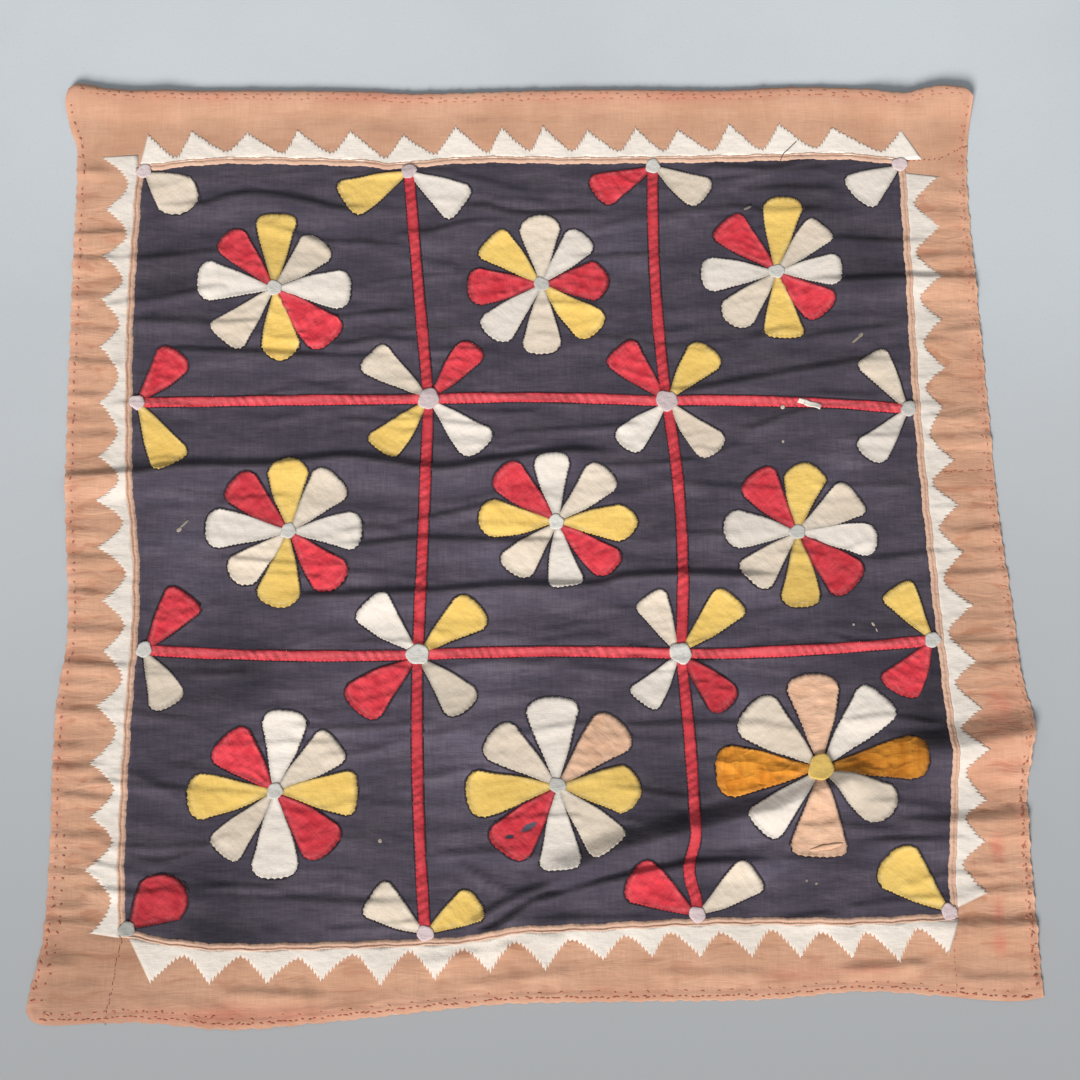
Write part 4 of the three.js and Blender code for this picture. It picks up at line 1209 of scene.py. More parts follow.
def snipped(inner, outer, depth):
    """Pulls every second point of the outer line towards the inner one. Returns the stitches that do so."""
    back = (inner - outer) / np.hypot(*(inner - outer).T)[:, None]
    run = np.gradient(outer, axis=0)
    facing = np.abs(back[:, 0] * run[:, 1] - back[:, 1] * run[:, 0]) / np.hypot(*run.T)
    pull = depth * CHANCE.uniform(*UNEVEN_PULL, len(outer)) / np.maximum(facing, 0.4)
    outer[1::2] += (back * pull[:, None])[1::2]
    return outer[1::2], back[1::2]


def tooth_strip(side):
    """One white strip with its teeth and whip stitches."""
    start, end, roundness, dips, tips = TEETH[side]
    line = np.column_stack(tooth_line(roundness, dips, tips))
    count = 2 * int(length_of(line) / TOOTH_PITCH)
    place, far = spaced(line, np.linspace(0, 1, count + 1)).T
    first, last = place[0], place[-1]
    base = place + (start - first) * np.clip(1 - (place - first) / STRIP_EASE, 0, 1)
    base = base + (end - last) * np.clip(1 - (last - place) / STRIP_EASE, 0, 1)
    inner = beside("ground", side, base, TOOTH_SEAM)
    outer = beside("ground", side, place, far)
    spots, runs = snipped(inner, outer, SNIP_DEPTH)
    rows = TOOTH_ROWS[:, None, None]
    x, y = np.moveaxis(inner * (1 - rows) + outer * rows, 2, 0)
    distance = rim_distance(x, y, "top left right")
    over = rest(x, y) + CLOTH
    uneven = 0.12 * np.sin(x / 2.1 + y / 5.3) * np.sin(y / 2.7 - x / 6.1)
    top = over + PATCH * (1 - 0.85 * np.exp(-distance / 1.1)) + uneven * np.clip(distance / 2, 0, 1)
    # Painted shade: the rim of the teeth is tinted brown.
    strip = slab(x, y, over - SEAT, top, tone=TOOTH_TONE[side] + 0.03 * np.sin(x / 9) * np.sin(y / 7),
                 stain=0.5 * np.exp(-distance / 0.7))
    sewn = stitches(on_cloth(spots - runs * TOOTH_OUT, TOOTH_LIFT), runs, TOOTH_STITCH, tint=1, tone=0.0)
    return piece(f"teeth_{side}_cloth", [strip, sewn], [WHITE, TAN_NOTCH_SHADE], "white_cotton", f"teeth_{side}")


TOOTH_STRIPS = {side: tooth_strip(side) for side in TEETH}
print("teeth:", {side: triangles(strip) for side, strip in TOOTH_STRIPS.items()})

# %% [markdown]
# ## The rosettes
# Each flower is a ring of petals, and each petal a patch of its own with its edge turned under. A disc
# covers the necks of the petals. No two petals were cut alike, so the table gives each one its own
# bearing, reach and half widths, clockwise from the top edge, and says how blunt its tip is.

# %% Rosette tables
Rosette = namedtuple("Rosette", "x y radius middle colours tips petals")
# name: x, y, disc radius, disc colour, petal colours, tip forms from 0 (round) over 1 (pointed) to 4 (flat),
# petals as bearing, reach and half width on either side
ROSETTE_ROWS = {
    "flower_1": (-260, 256, 8, "g", "ytwrytwr", "43331433",
                 [(2, 82, 23, 20), (43, 71, 18, 22), (92, 79, 22, 22), (134, 85, 22, 23),
                  (174, 82, 21, 20), (221, 77, 20, 24), (273, 80, 16, 28), (318, 80, 16, 20)]),
    "flower_2": (12, 256, 8, "g", "twrytwry", "23133334",
                 [(359, 76, 21, 22), (43, 71, 20, 16), (87, 70, 22, 22), (134, 78, 21, 19),
                  (179, 77, 18, 22), (223, 78, 18, 22), (268, 76, 21, 21), (315, 74, 23, 18)]),
    "flower_3": (252, 266, 8, "g", "yewryewr", "34334234",
                 [(2, 84, 14, 28), (44, 72, 16, 19), (91, 68, 21, 16), (137, 67, 26, 16),
                  (181, 74, 27, 15), (217, 76, 14, 26), (269, 78, 20, 19), (319, 77, 24, 17)]),
    "flower_4": (-242, -3, 8, "g", "yewryewr", "13322233",
                 [(0, 78, 22, 20), (44, 74, 26, 18), (91, 74, 21, 20), (136, 78, 19, 24),
                  (185, 80, 20, 25), (225, 74, 16, 22), (271, 83, 18, 24), (313, 78, 20, 20)]),
    "flower_5": (23, 2, 8, "g", "weyrweyr", "33134323",
                 [(357, 72, 19, 18), (44, 76, 18, 21), (91, 82, 20, 20), (134, 76, 22, 14),
                  (172, 69, 18, 18), (217, 69, 13, 25), (272, 78, 18, 23), (313, 79, 17, 21)]),
    "flower_6": (261, -12, 8, "g", "ytwrytwr", "14333323",
                 [(6, 74, 18, 26), (53, 72, 15, 27), (96, 80, 16, 19), (133, 79, 20, 26),
                  (179, 78, 20, 20), (225, 71, 20, 21), (272, 74, 18, 23), (320, 75, 16, 28)]),
    "flower_7": (-251, -264, 8, "g", "weyrweyr", "34433433",
                 [(6, 81, 21, 24), (51, 77, 20, 21), (92, 80, 22, 23), (136, 80, 22, 24),
                  (179, 85, 23, 23), (221, 79, 18, 19), (266, 85, 22, 24), (316, 75, 23, 25)]),
    "flower_8": (20, -262, 8, "g", "wpytwrye", "33144333",
                 [(358, 88, 27, 25), (47, 88, 26, 23), (95, 82, 25, 24), (141, 82, 23, 20),
                  (179, 84, 21, 20), (219, 85, 22, 26), (263, 89, 22, 25), (309, 83, 22, 22)]),
    "flower_9": (273, -249, 13, "y", "pwoepwoe", "34324433",
                 [(359, 94, 28, 24), (42, 96, 23, 24), (90, 105, 31, 13), (129, 81, 30, 15),
                  (182, 87, 26, 30), (223, 86, 15, 25), (269, 102, 26, 26), (313, 92, 29, 24)]),
    "crossing_1": (-103, 133, 11, "l", "rwye", "3344",
                   [(39, 76, 15, 17), (139, 77, 26, 15), (217, 73, 12, 26), (313, 78, 24, 14)]),
    "crossing_2": (136, 127, 11, "l", "yewr", "3334",
                   [(39, 74, 20, 20), (139, 74, 19, 17), (221, 66, 14, 20), (320, 76, 20, 20)]),
    "crossing_3": (-114, -131, 11, "g", "yerw", "3334",
                   [(47, 78, 17, 26), (140, 74, 22, 18), (225, 82, 18, 29), (317, 74, 21, 20)]),
    "crossing_4": (142, -134, 11, "g", "yrwe", "4344",
                   [(41, 79, 15, 24), (137, 71, 16, 20), (218, 63, 16, 19), (326, 67, 10, 25)]),
    "end_top_1": (-123, 383, 8, "l", "wy", "44", [(124, 69, 22, 23), (240, 75, 18, 28)]),
    "end_top_2": (129, 385, 8, "g", "er", "33", [(126, 65, 23, 16), (235, 68, 11, 29)]),
    "end_right_1": (378, 115, 8, "g", "we", "34", [(220, 68, 16, 20), (327, 70, 17, 20)]),
    "end_right_2": (388, -124, 8, "g", "ry", "34", [(210, 65, 15, 28), (327, 65, 18, 19)]),
    "end_bottom_1": (-107, -402, 8, "l", "ye", "34", [(56, 60, 16, 21), (303, 64, 18, 23)]),
    "end_bottom_2": (150, -388, 8, "l", "er", "43", [(54, 70, 17, 20), (301, 74, 22, 24)]),
    "end_left_1": (-396, 134, 8, "l", "ry", "34", [(40, 68, 23, 18), (148, 77, 18, 23)]),
    "end_left_2": (-381, -122, 8, "g", "re", "43", [(38, 70, 23, 20), (152, 64, 17, 21)]),
    "corner_top_left": (-397, 388, 8, "l", "e", "0", [(131, 68, 27, 22)]),
    "corner_top_right": (384, 383, 8, "l", "w", "3", [(229, 60, 18, 28)]),
    "corner_bottom_left": (-389, -394, 8, "g", "r", "0", [(43, 68, 22, 32)]),
    "corner_bottom_right": (388, -389, 8, "l", "y", "2", [(313, 79, 26, 26)]),
}
ROSETTES = {name: Rosette(*row) for name, row in ROSETTE_ROWS.items()}
print(len(ROSETTES), "rosettes with", sum(len(row.petals) for row in ROSETTES.values()), "petals")

# %% [markdown]
# ## Colours of the rosettes
# The letters in the table stand for the cottons. Two petals of one cotton never faded alike, and dye and
# dirt have made some darker, while two lie in the shade of a fold, which is painted shade. So a second
# table gives the petals and discs that differ from the others of their colour.

# %% Rosette colours
TINTS = {"w": WHITE, "t": ECRU, "e": ECRU, "y": YELLOW, "r": RED, "o": ORANGE, "p": ROSE,
         "g": GREY, "l": LILAC}
SLOTS = {"w": "white_cotton", "t": "ecru_cotton", "e": "ecru_cotton", "y": "yellow_cotton",
         "r": "red_cotton", "o": "orange_cotton", "p": "peach_cotton"}
# Petals, by their number in the row, and discs that are darker or lighter than others of their colour.
# For petals 2 and 3 of flower_9 this is painted shade of a fold.
PETAL_TONES_AND_SHADE = {
    "flower_1": {0: -0.08, 1: -0.1, 3: 0.12, 4: 0.09},
    "flower_2": {2: -0.14, 3: 0.08, 6: 0.05},
    "flower_4": {3: 0.11, 5: 0.12, 7: -0.13},
    "flower_5": {2: 0.1, 3: 0.1, 6: 0.1},
    "flower_6": {3: -0.18, 4: -0.13, 6: -0.08},
    "flower_7": {0: 0.1, 3: -0.1, 5: -0.1, 6: -0.06, 7: 0.13},
    "flower_8": {1: 0.02, 2: -0.08, 5: -0.08},
    "flower_9": {0: 0.09, 2: -0.27, 3: -0.13, 5: -0.06, 6: 0.12},
    "crossing_3": {1: -0.15},
    "crossing_4": {1: -0.16, 2: -0.07, 3: 0.1},
    "end_left_2": {1: -0.16},
    "end_right_1": {0: -0.1, 1: -0.08},
    "corner_bottom_left": {0: -0.3},
    "corner_top_right": {0: -0.09},
}
DISC_TONES = {
    "flower_2": -0.15, "flower_5": 0.2, "flower_6": -0.1, "flower_8": -0.15, "flower_9": -0.2,
    "crossing_4": 0.1, "end_right_1": -0.15, "end_right_2": -0.1, "end_bottom_1": 0.25,
    "end_bottom_2": 0.2, "end_left_1": 0.2, "corner_top_left": 0.15, "corner_top_right": 0.2,
    "corner_bottom_left": -0.35, "corner_bottom_right": 0.2,
}
print(sum(len(row) for row in PETAL_TONES_AND_SHADE.values()), "petals and", len(DISC_TONES), "discs differ")

# %% [markdown]
# ## The run of the tapes
# Strips of red cotton part the ground into nine squares. Each runs from one side to the other over the
# middles of two crossings. They were sewn on by eye, so every run bows a little. The table gives the bow
# and a kink of each run, but not its ends, because these are the middles of the rosettes.

# %% Tape lines
# name: rosettes that it runs over, bow and kink of each run, height over the ground, how much paler its
# middle is, tone, nodes that it replaces
TAPES = {
    "tape_across_upper": ("end_left_1 crossing_1 crossing_2 end_right_1", [0.5, 3, 3.7], [0, 0, 0],
                          0, 0.45, 0.02, "tape_across_1 tape_across_2 tape_across_3"),
    "tape_across_lower": ("end_left_2 crossing_3 crossing_4 end_right_2", [-3.3, 2.7, -3.3], [0, 0, 0],
                          0, 0.45, 0.0, "tape_across_4 tape_across_5 tape_across_6"),
    "tape_down_left": ("end_top_1 crossing_1 crossing_3 end_bottom_1", [-0.5, 0.3, -3.3], [0, 0, 0],
                       0.15, 0.1, -0.16, "tape_down_1 tape_down_2 tape_down_3"),
    "tape_down_right": ("end_top_2 crossing_2 crossing_4 end_bottom_2", [-4.5, 7.8, 4], [0, 0, -7.5],
                        0.15, 0.1, -0.16, "tape_down_4 tape_down_5 tape_down_6"),
}


def tape_line(stops, bows, kinks):
    """The middle line of a tape over its stops."""
    line = []
    for start, end, bow, kink in zip(stops, stops[1:], bows, kinks):
        start, end = np.array(start[:2], float), np.array(end[:2], float)
        run = end - start
        left = np.array([-run[1], run[0]]) / np.hypot(*run)
        t = np.linspace(0, 1, 40)[:, None]
        swerve = kink * np.sin(np.pi * np.clip((t - 0.7) / 0.27, 0, 1)) ** 2
        line.append(start + run * t + left * (4 * bow * t * (1 - t) + swerve))
    return np.concatenate([line[0], *(part[1:] for part in line[1:])])


print("tapes:", ", ".join(TAPES))

# %% [markdown]
# ## The tapes
# A tape is folded to eleven millimetres, and short wrinkles cross it. Along both edges runs a rim of ground
# cloth, painted dark as painted shade beside the tape. Such rims are thin sheets of their own, which
# keeps them sharp where the ground's grid is coarser. The rims of all pieces are gathered in a list.

# %% Tapes
TAPE_WIDTH = 11
TAPE_PITCH = 4.2
TAPE_PULL = 0.9
TAPE_STITCH, TAPE_OUT = (1.9, 0.45, 0.7), 0.3
# How high the stitches of a tape or a petal lie over the cloth.
WHIP_LIFT = 0.4
# Places of the rows across a tape, as shares of its width.
TAPE_ROWS = np.array([-0.5, -0.37, -0.2, 0, 0.2, 0.37, 0.5])
SHADE_RIMS = []
RIM_THICK = 0.6
# The rims of painted shade beside a tape: place across it, height over the ground, darkness.
TAPE_SHADE_RIM = np.array([(-7.6, -0.25, 0), (-6.2, 0.08, 0.75), (-5.2, 0.05, 0.9), (-4.4, -0.8, 0.9),
                     (4.4, -0.8, 0.9), (5.2, 0.05, 0.9), (6.2, 0.08, 0.75), (7.6, -0.25, 0)])
# Scraps of white cloth that hang on the upper tape: middle, length, width, lean.
SCRAPS = [(282, 121, 17, 6, -0.36), (271, 125, 6, 5, -0.5)]
SCRAP_LIFT, SCRAP_THICK = 0.35, 0.4


def painted_shade_band(line, left, profile):
    """A band of ground cloth beside a line, painted dark as painted shade."""
    reach, lift, dark = profile.T[..., None]
    x, y = np.moveaxis(line[None] + left[None] * reach[..., None], 2, 0)
    over = rest(x, y) + CLOTH + lift
    return slab(x, y, over - RIM_THICK, over, stain=dark)


def scrap(x0, y0, long, wide, lean):
    """A scrap of white cloth."""
    u, v = np.meshgrid(np.linspace(-long / 2, long / 2, 9), np.linspace(-wide / 2, wide / 2, 5))
    v = v + 0.5 * np.sin(u / 2.3)
    x = x0 + u * math.cos(lean) - v * math.sin(lean)
    y = y0 + u * math.sin(lean) + v * math.cos(lean)
    over = rest(x, y) + CLOTH + PATCH + SCRAP_LIFT
    return slab(x, y, over, over + SCRAP_THICK + 0.15 * np.sin(u), tint=1, tone=0.04)


def tape(name, stops, bows, kinks, rise, pale, dark, nodes):
    """A folded tape with its whip stitches."""
    stops = [ROSETTES[stop] for stop in stops.split()]
    line = tape_line(stops, bows, kinks)
    length = length_of(line)
    shares = np.linspace(0, 1, 2 * int(length / TAPE_PITCH) + 1)
    middle = spaced(line, shares)
    left = left_of(middle)
    along = shares * length
    width = TAPE_WIDTH + 0.5 * np.sin(along / 23) + 0.3 * np.sin(along / 9 + 1)
    rows = TAPE_ROWS[:, None]
    x, y = np.moveaxis(middle[None] + left[None] * (rows * width)[..., None], 2, 0).copy()
    spots, runs = drawn_in(x, y, "top bottom", TAPE_PULL)
    distance = rim_distance(x, y, "top bottom")
    over = rest(x, y) + CLOTH
    wrinkle = 0.5 * np.sin((along + 6 * rows) * 0.72 + 1.3 * np.sin(along / 13)) * np.cos(rows * 2.2)
    free = np.min([np.hypot(x - stop.x, y - stop.y) for stop in stops], axis=0)
    wrinkle = wrinkle * (0.55 + 0.45 * np.sin(along / 17 + 1)) * np.clip(free / 8 - 1, 0, 1)
    # Painted shade at both edges and in the troughs of the wrinkles, a little painted light on their crests.
    tone = dark - 0.18 * np.exp(-distance / 0.8) + 0.8 * np.clip(wrinkle, -0.45, 0.15)
    strip = slab(x, y, over - SEAT, over + fold_edge(distance, PATCH) + wrinkle + rise,
                 cut=(along, rows * TAPE_WIDTH), fold=pale * bell(rows, 0, 0.3), tone=tone)
    places = on_cloth(spots, WHIP_LIFT)
    places[:, :2] -= runs * TAPE_OUT
    sewn = stitches(places, runs, TAPE_STITCH, tone=dark - 0.25)
    SHADE_RIMS.append(painted_shade_band(middle[::2], left[::2], TAPE_SHADE_RIM))
    scraps = [scrap(*row) for row in SCRAPS] if name == "tape_across_upper" else []
    return piece(name + "_cloth", [strip, sewn, *scraps], [RED, WHITE], "red_cotton", *nodes.split())


TAPE_PIECES = {name: tape(name, *row) for name, row in TAPES.items()}
print("tapes:", {name: triangles(made) for name, made in TAPE_PIECES.items()})

# %% [markdown]
# ## The shape of a petal
# A petal is a patch with a narrow neck under the disc, two slightly bowed edges and a tip that is round,
# pointed or flat. One formula gives all the tips: an ellipse whose corners are drawn out or in by a power.
# The tip is bent a little by chance, as scissors do.

# %% Petal outline
# Half the width of a neck.
NECK = 2.6
# tip form: share of the reach at which the tip starts, and how round it is
TIPS = {"0": (0.6, 1.0), "1": (0.76, 1.25), "2": (0.78, 1.0), "3": (0.82, 0.8), "4": (0.86, 0.62)}


def petal_sides(reach, left, right, disc, form):
    """Neck, tip and the two bowed edges of a petal that points along +Y."""
    start, bend = TIPS[form]
    angle = np.linspace(np.pi, 0, 8)
    angle[1:-1] += CHANCE.normal(0, 0.06, 6)
    aside = np.sign(np.cos(angle)) * np.abs(np.cos(angle)) ** bend
    tip = np.column_stack([(right - left) / 2 + (right + left) / 2 * aside,
                           reach * (start + (1 - start) * np.sin(angle) ** bend)])
    neck = np.array([(-NECK, disc / 2), (NECK, disc / 2)])
    edges = []
    for start, end, outward in ((neck[0], tip[0], -1), (neck[1], tip[-1], 1)):
        bowed = (start + end) / 2 + (outward * CHANCE.uniform(0.2, 2.2), 0)
        edges.append(smooth_line([start, bowed, end], 10))
    return neck, tip, *edges


print("tip forms:", ", ".join(TIPS))

# %% [markdown]
# ## Wrinkles, wear and a tuck
# Each patch keeps some soft wrinkles from sewing, the coarse red and orange ones most. One red petal has
# worn through at two places: there the cloth is simply pressed down and darkened, which looks like a hole
# without opening the mesh. A tuck near the tip of one petal is a small roll of its own.

# %% Wrinkles, holes and tuck
# How rough the wrinkles of most colours are, and of the coarser ones.
USUAL_ROUGH = 0.3
ROUGH = {"r": 1.1, "o": 1.2, "p": 0.8}
# Worn holes: middle, half length, half width, bearing of their length.
HOLES = [(-8, -302, 11, 3.4, 58), (-26, -311, 4.5, 1.6, 75)]
# A tuck in one petal, from left to right, and its roll: place across it, height, tone. The dark tone on
# its far side is painted shade.
TUCK = [(259, -328), (266, -326), (274, -324), (291, -322)]
TUCK_ROLL = np.array([(-4.2, 0, 0), (-2.6, 0.5, 0.03), (-1.2, 0.9, 0.03), (0, 1.0, -0.12),
                      (0.8, 0.4, -0.42), (1.5, 0.1, -0.4)])


def wrinkles(x, y, rough):
    """Soft wrinkles of a patch: a few short waves, mostly across the panel."""
    total = np.zeros_like(x)
    for _ in range(6):
        length = CHANCE.uniform(7, 15)
        turn = CHANCE.normal(1.6, 0.5)
        start, swell = CHANCE.uniform(*ANY_PHASE, 2)
        wave = np.sin((x * math.cos(turn) + y * math.sin(turn)) * TURN / length + start)
        aside = x * math.sin(turn) - y * math.cos(turn)
        total += 0.02 * length * wave * np.sin(aside / (1.6 * length) + swell)
    return np.hypot(0.3, rough * total) + rough * total - 0.45


def tuck(tint):
    """A small roll of cloth near the tip of a petal, with a steep far side darkened as painted shade."""
    share = np.linspace(0, 1, 17)
    middle = spaced(smooth_line(TUCK), share)
    swell = np.sin(np.pi * np.clip(share, 0.02, 0.98)) ** 0.6
    reach, high, tone = TUCK_ROLL.T[..., None]
    x, y = middle[:, 0] + 0 * reach, middle[:, 1] + reach * swell
    over = rest(x, y) + CLOTH + PATCH
    return slab(x, y, over - 0.4, over + 0.1 + high * swell, tint, tone=tone)


def hole(x, y):
    """How deep points lie in a worn hole, from 0 at its rim to 1."""
    depth = np.zeros_like(x)
    for a, b, long, wide, bearing in HOLES:
        turn = math.radians(bearing)
        along = (x - a) * math.sin(turn) + (y - b) * math.cos(turn)
        aside = (x - a) * math.cos(turn) - (y - b) * math.sin(turn)
        depth = np.maximum(depth, np.clip(1.4 - 1.4 * np.hypot(along / long, aside / wide), 0, 1))
    return depth


print(len(HOLES), "worn holes, one tuck")

# %% [markdown]
# ## Petals
# A petal starts as a grid between its neck, its two long edges and its tip. Every second point of
# the rim is drawn in by a whip stitch. A narrow band of the ground cloth follows the rim, painted dark,
# so that a line of painted shade runs round each petal. The petal itself has painted shade at the very
# rim, where it turns under, and is paler along a band a little further in.

# %% Petals
PETAL_ROWS = 32
PETAL_COLUMNS = 20
SHRUNK = 0.3
PETAL_PULL = 1.25
PETAL_STITCH, PETAL_OUT = (1.9, 0.4, 0.7), 0.35
STITCH_TONE = -0.15
# The band of painted shade round a petal: distance out from its rim, height over the ground, darkness.
PETAL_SHADE_RIM = np.array([(-1.5, 0.1, 0.9), (0.5, 0.12, 0.85), (1.3, 0.08, 0.5), (2.6, -0.25, 0.0)])
# How much darker the rim of a petal is, by its colour, and where: distance in and width.
RIM_SHADE = {"w": 0.34, "t": 0.3, "e": 0.38, "y": 0.42, "r": 0.47, "p": 0.45, "o": 0.28}
RIM_PLACE, RIM_WIDTH = 0.6, 2.5
# Where the petal is paler: distance in, width and strength.
PALE_BAND_PLACE, PALE_BAND_WIDTH, PALE_BAND = 3.8, 1.7, 0.4


def shade_band(x, y):
    """The band of ground cloth round the rim of a petal, painted dark as painted shade."""
    points = np.stack([x, y], 2)
    rim = np.concatenate([points[2::2, 0], points[-1, 2:-1:2], points[2::2, -1][::-1]])
    out = left_of(rim)
    out[1:-1] = (out[:-2] + 2 * out[1:-1] + out[2:]) / 4
    return painted_shade_band(rim, out, PETAL_SHADE_RIM)


def petal(name, number, tint):
    """One petal with its dark rim and its stitches."""
    rosette = ROSETTES[name]
    colour = rosette.colours[number]
    bearing, reach, left, right = rosette.petals[number]
    neck, tip, left, right = petal_sides(reach - SHRUNK, left - SHRUNK, right - SHRUNK, rosette.radius,
                                         rosette.tips[number])
    across = np.linspace(0, 1, PETAL_COLUMNS + 1)
    upward = np.linspace(0, 1, PETAL_ROWS + 1)
    u, v = between(spaced(neck, across), spaced(tip, across), spaced(left, upward), spaced(right, upward),
                   across, upward)
    u = u + 0.5 * np.sin(v / 9 + CHANCE.uniform(0, 6))
    spots, runs = drawn_in(u, v, "left right top", PETAL_PULL)
    turn = math.radians(bearing)
    grain = CHANCE.uniform(0, 400, 2)

    def turned(a, b):
        return a * math.cos(turn) + b * math.sin(turn), b * math.cos(turn) - a * math.sin(turn)

    dx, dy = turned(u, v)
    x, y = rosette.x + dx, rosette.y + dy
    distance = rim_distance(u, v, "left right top")
    over = rest(x, y) + CLOTH
    wrinkle = wrinkles(x, y, ROUGH.get(colour, USUAL_ROUGH))
    tone = CHANCE.uniform(-0.06, 0.03) + PETAL_TONES_AND_SHADE.get(name, {}).get(number, 0)
    tone = tone - RIM_SHADE[colour] * bell(distance, RIM_PLACE, RIM_WIDTH)
    paler = PALE_BAND * bell(distance, PALE_BAND_PLACE, PALE_BAND_WIDTH) * (0.6 + 0.4 * np.sin(v / 5 + u / 3))
    free = np.clip(distance / 3, 0, 1) * np.clip(v / rosette.radius - 1.1, 0, 1)
    top = over + fold_edge(distance, PATCH) + wrinkle * free
    torn = hole(x, y)
    patch = slab(x, y, over - SEAT - 2 * torn, top - 3 * torn, tint, cut=(u + grain[0], v + grain[1]),
                 fold=paler, tone=tone - 0.5 * torn)
    middle = np.column_stack(turned(*(spots - runs * PETAL_OUT).T)) + rosette[:2]
    heading = np.column_stack(turned(*runs.T))
    sewn = stitches(on_cloth(middle, WHIP_LIFT), heading, PETAL_STITCH, tint, tone=STITCH_TONE)
    SHADE_RIMS.append(shade_band(x, y))
    return [patch, sewn]


print("a petal has", PETAL_ROWS, "by", PETAL_COLUMNS, "squares")

# %% [markdown]
# ## Discs and whole rosettes
# A small round patch covers the necks of the petals. Its grid is spread between four quarter circles, so
# it has no pole in the middle as a fan of triangles would. It was cut by eye too, so a few sine waves put it
# out of round. It is stretched over the layers below it and follows their folds only in part.

# %% Rosettes
DISC_PULL = 0.5
DISC_STITCH, DISC_OUT = (1.7, 0.4, 0.6), 0.2
# Thickness of a disc, and the share of a fold under it that it stretches over.
DISC_EDGE = 0.4
STRETCHED = 0.6
# Lift of a disc over the cloth, with petals alone under it or with a tape or an edging as well.
FLOWER_LIFT = 0.8
CROSSING_LIFT = 1.2


def disc_patch(rosette, tint, lift, tone):
    """The round patch over the necks of the petals, a little out of round."""
    corners = np.radians([225, 315, 405, 495])
    arcs = [np.column_stack([np.cos(np.linspace(a, b, 13)), np.sin(np.linspace(a, b, 13))])
            for a, b in zip(corners, corners + np.pi / 2)]
    share = np.linspace(0, 1, 13)
    u, v = between(arcs[0], arcs[2][::-1], arcs[3][::-1], arcs[1], share, share) * rosette.radius
    shift = CHANCE.uniform(*ANY_PHASE, 2)
    bearing = np.arctan2(v, u)
    wobble = 0.98 + 0.06 * np.sin(2 * bearing + shift[0]) + 0.05 * np.sin(3 * bearing + shift[1])
    wobble += 0.04 * np.sin(5 * bearing + shift.sum())
    distance = rosette.radius - np.hypot(u, v)
    u, v = u * wobble, v * wobble
    spots, runs = drawn_in(u, v, "left right top bottom", DISC_PULL)
    x, y = rosette.x + u, rosette.y + v
    under = rest(x, y)
    over = under + STRETCHED * (under.max() - under) + CLOTH + lift
    patch = slab(x, y, under + CLOTH - 0.5, over + fold_edge(np.maximum(distance, 0), DISC_EDGE), tint,
                 tone=tone)
    places = on_cloth(spots - runs * DISC_OUT + rosette[:2], lift)
    places[:, 2] += STRETCHED * np.maximum(under.max() + CLOTH + lift - places[:, 2], 0)
    return [patch, stitches(places, runs, DISC_STITCH, tint, tone=STITCH_TONE)]


def rosette_piece(name, rosette):
    """All patches of one rosette as one piece."""
    letters = list(dict.fromkeys(rosette.colours + rosette.middle))
    parts = []
    for number, letter in enumerate(rosette.colours):
        parts += petal(name, number, letters.index(letter))
    if name == "flower_9":
        parts.append(tuck(letters.index("p")))
    lift = FLOWER_LIFT if name.startswith("flower") else CROSSING_LIFT
    parts += disc_patch(rosette, letters.index(rosette.middle), lift, DISC_TONES.get(name, 0))
    slot = SLOTS[rosette.colours[0]]
    return piece(name + "_patches", parts, [TINTS[letter] for letter in letters], slot, name)


FLOWERS = {name: rosette_piece(name, rosette) for name, rosette in ROSETTES.items()}
rims = piece("ground_shade_rims", SHADE_RIMS, [INDIGO], "indigo_cotton")
print("rosettes:", sum(triangles(made) for made in FLOWERS.values()), "triangles")
print("rims:", triangles(rims), "triangles")

# %% [markdown]
# ## Lint and a loose join
# A few specks of lint lie on the ground, and a dark thread closes a join in the upper white strip. Hair
# particles would be finer, but from here lint shows as small pale lumps. So both are bows of thread as
# well, only thicker or thinner.

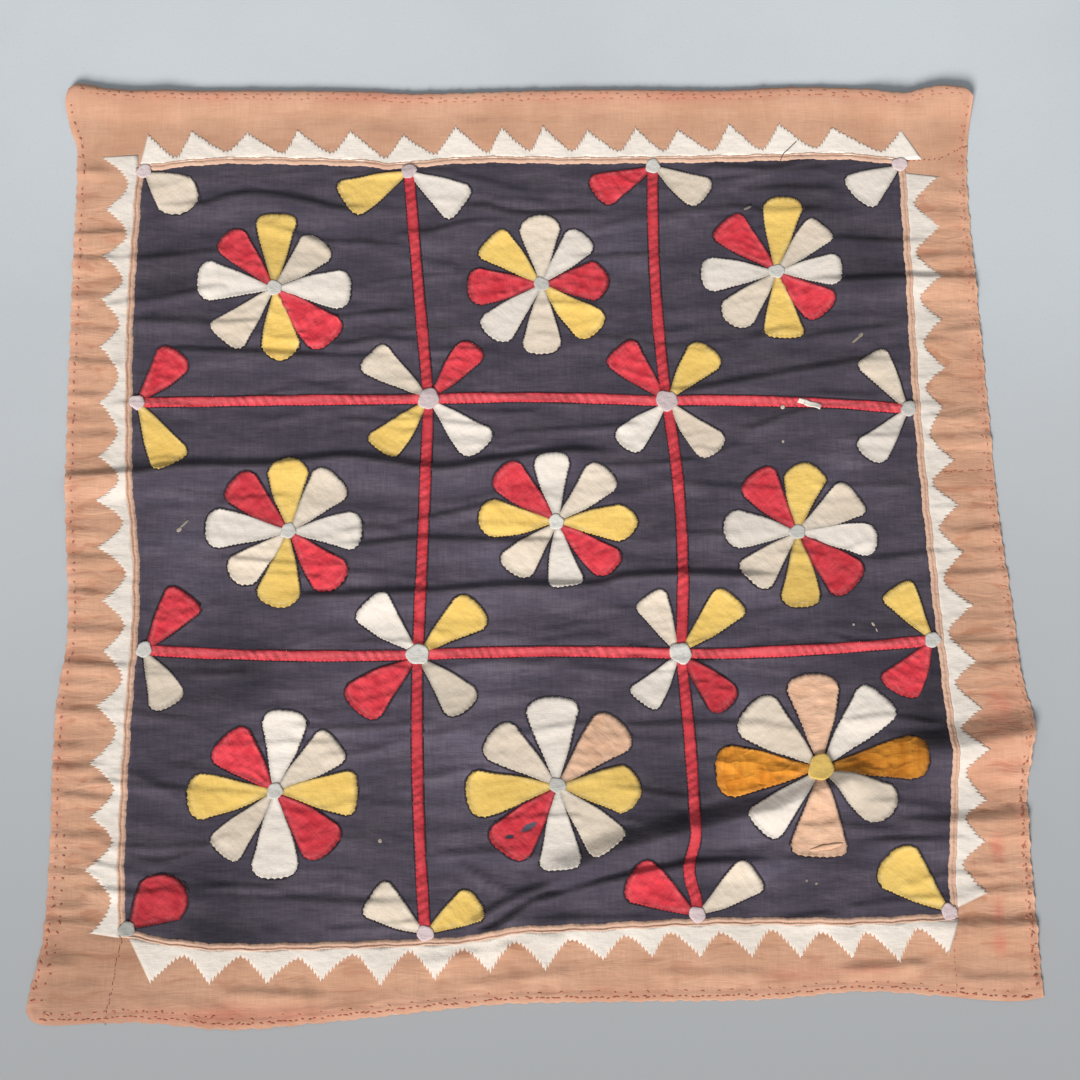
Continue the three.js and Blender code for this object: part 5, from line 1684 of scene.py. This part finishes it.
# %% Lint
SPECK_HEIGHT, SPECK_LIFT = 1.0, 0.2
JOIN_STITCH, JOIN_LIFT, JOIN_TONE = (3.2, 0.9, 0.9), 1.2, -0.55
# Where in y a speck lies on a tape instead of the ground, and its lift over it.
TAPE_SPECK_Y, TAPE_SPECK_LIFT = 119, 0.4
# middle of each speck, its length, width, bearing and tone
LINT = [
    (330, 191, 14, 3, 48, -0.66), (334, 195, 7, 4, 48, -0.6), (-350, 0, 6, 4.5, 45, -0.5),
    (-345, 6, 12, 2.6, 45, -0.62), (-150, -313, 4.5, 4, 0, -0.5), (255, -357, 3, 2.6, 20, -0.65),
    (264, -360, 3, 2.6, 60, -0.65), (225, 336, 9, 3, 65, -0.72), (312, -107, 2.8, 2.6, 0, -0.5),
    (331, -107, 5, 2.6, 150, -0.45), (334, -113, 4, 1.6, 160, -0.45), (252, 119, 5, 4.5, 30, -0.2),
    (251, 83, 3.6, 3, 10, -0.5),
]
# Points along the join.
JOIN = [(261, 389), (264, 396), (270, 402), (278, 410)]
x, y, length, width, bearing, tone = np.array(LINT, float).T
lifts = np.where(np.abs(y - TAPE_SPECK_Y) < 2, PATCH + TAPE_SPECK_LIFT, SPECK_LIFT)
places = on_cloth(np.column_stack([x, y]), lifts)
headings = np.column_stack([np.sin(np.radians(bearing)), np.cos(np.radians(bearing))])
specks = stitches(places, headings, (length, width, SPECK_HEIGHT), fine=(8, 6), tone=tone)
line = spaced(smooth_line(JOIN), np.linspace(0.02, 0.98, 13))
run = np.gradient(line, axis=0)
joined = stitches(on_cloth(line, JOIN_LIFT), run, JOIN_STITCH, tint=1, fine=(6, 5), tone=JOIN_TONE)
lint = piece("lint_and_join", [specks, joined], [ECRU, BROWN], "ecru_cotton")
print(len(LINT), "specks,", triangles(lint), "triangles")

# %% [markdown]
# ## What lies on what
# The ground and the border lie on the floor, and everything else lies on them. Here the pieces are
# counted.


print("sheets:", 1 + len(BORDERS) + len(EDGINGS) + len(TOOTH_STRIPS) + len(TAPE_PIECES) + len(FLOWERS))
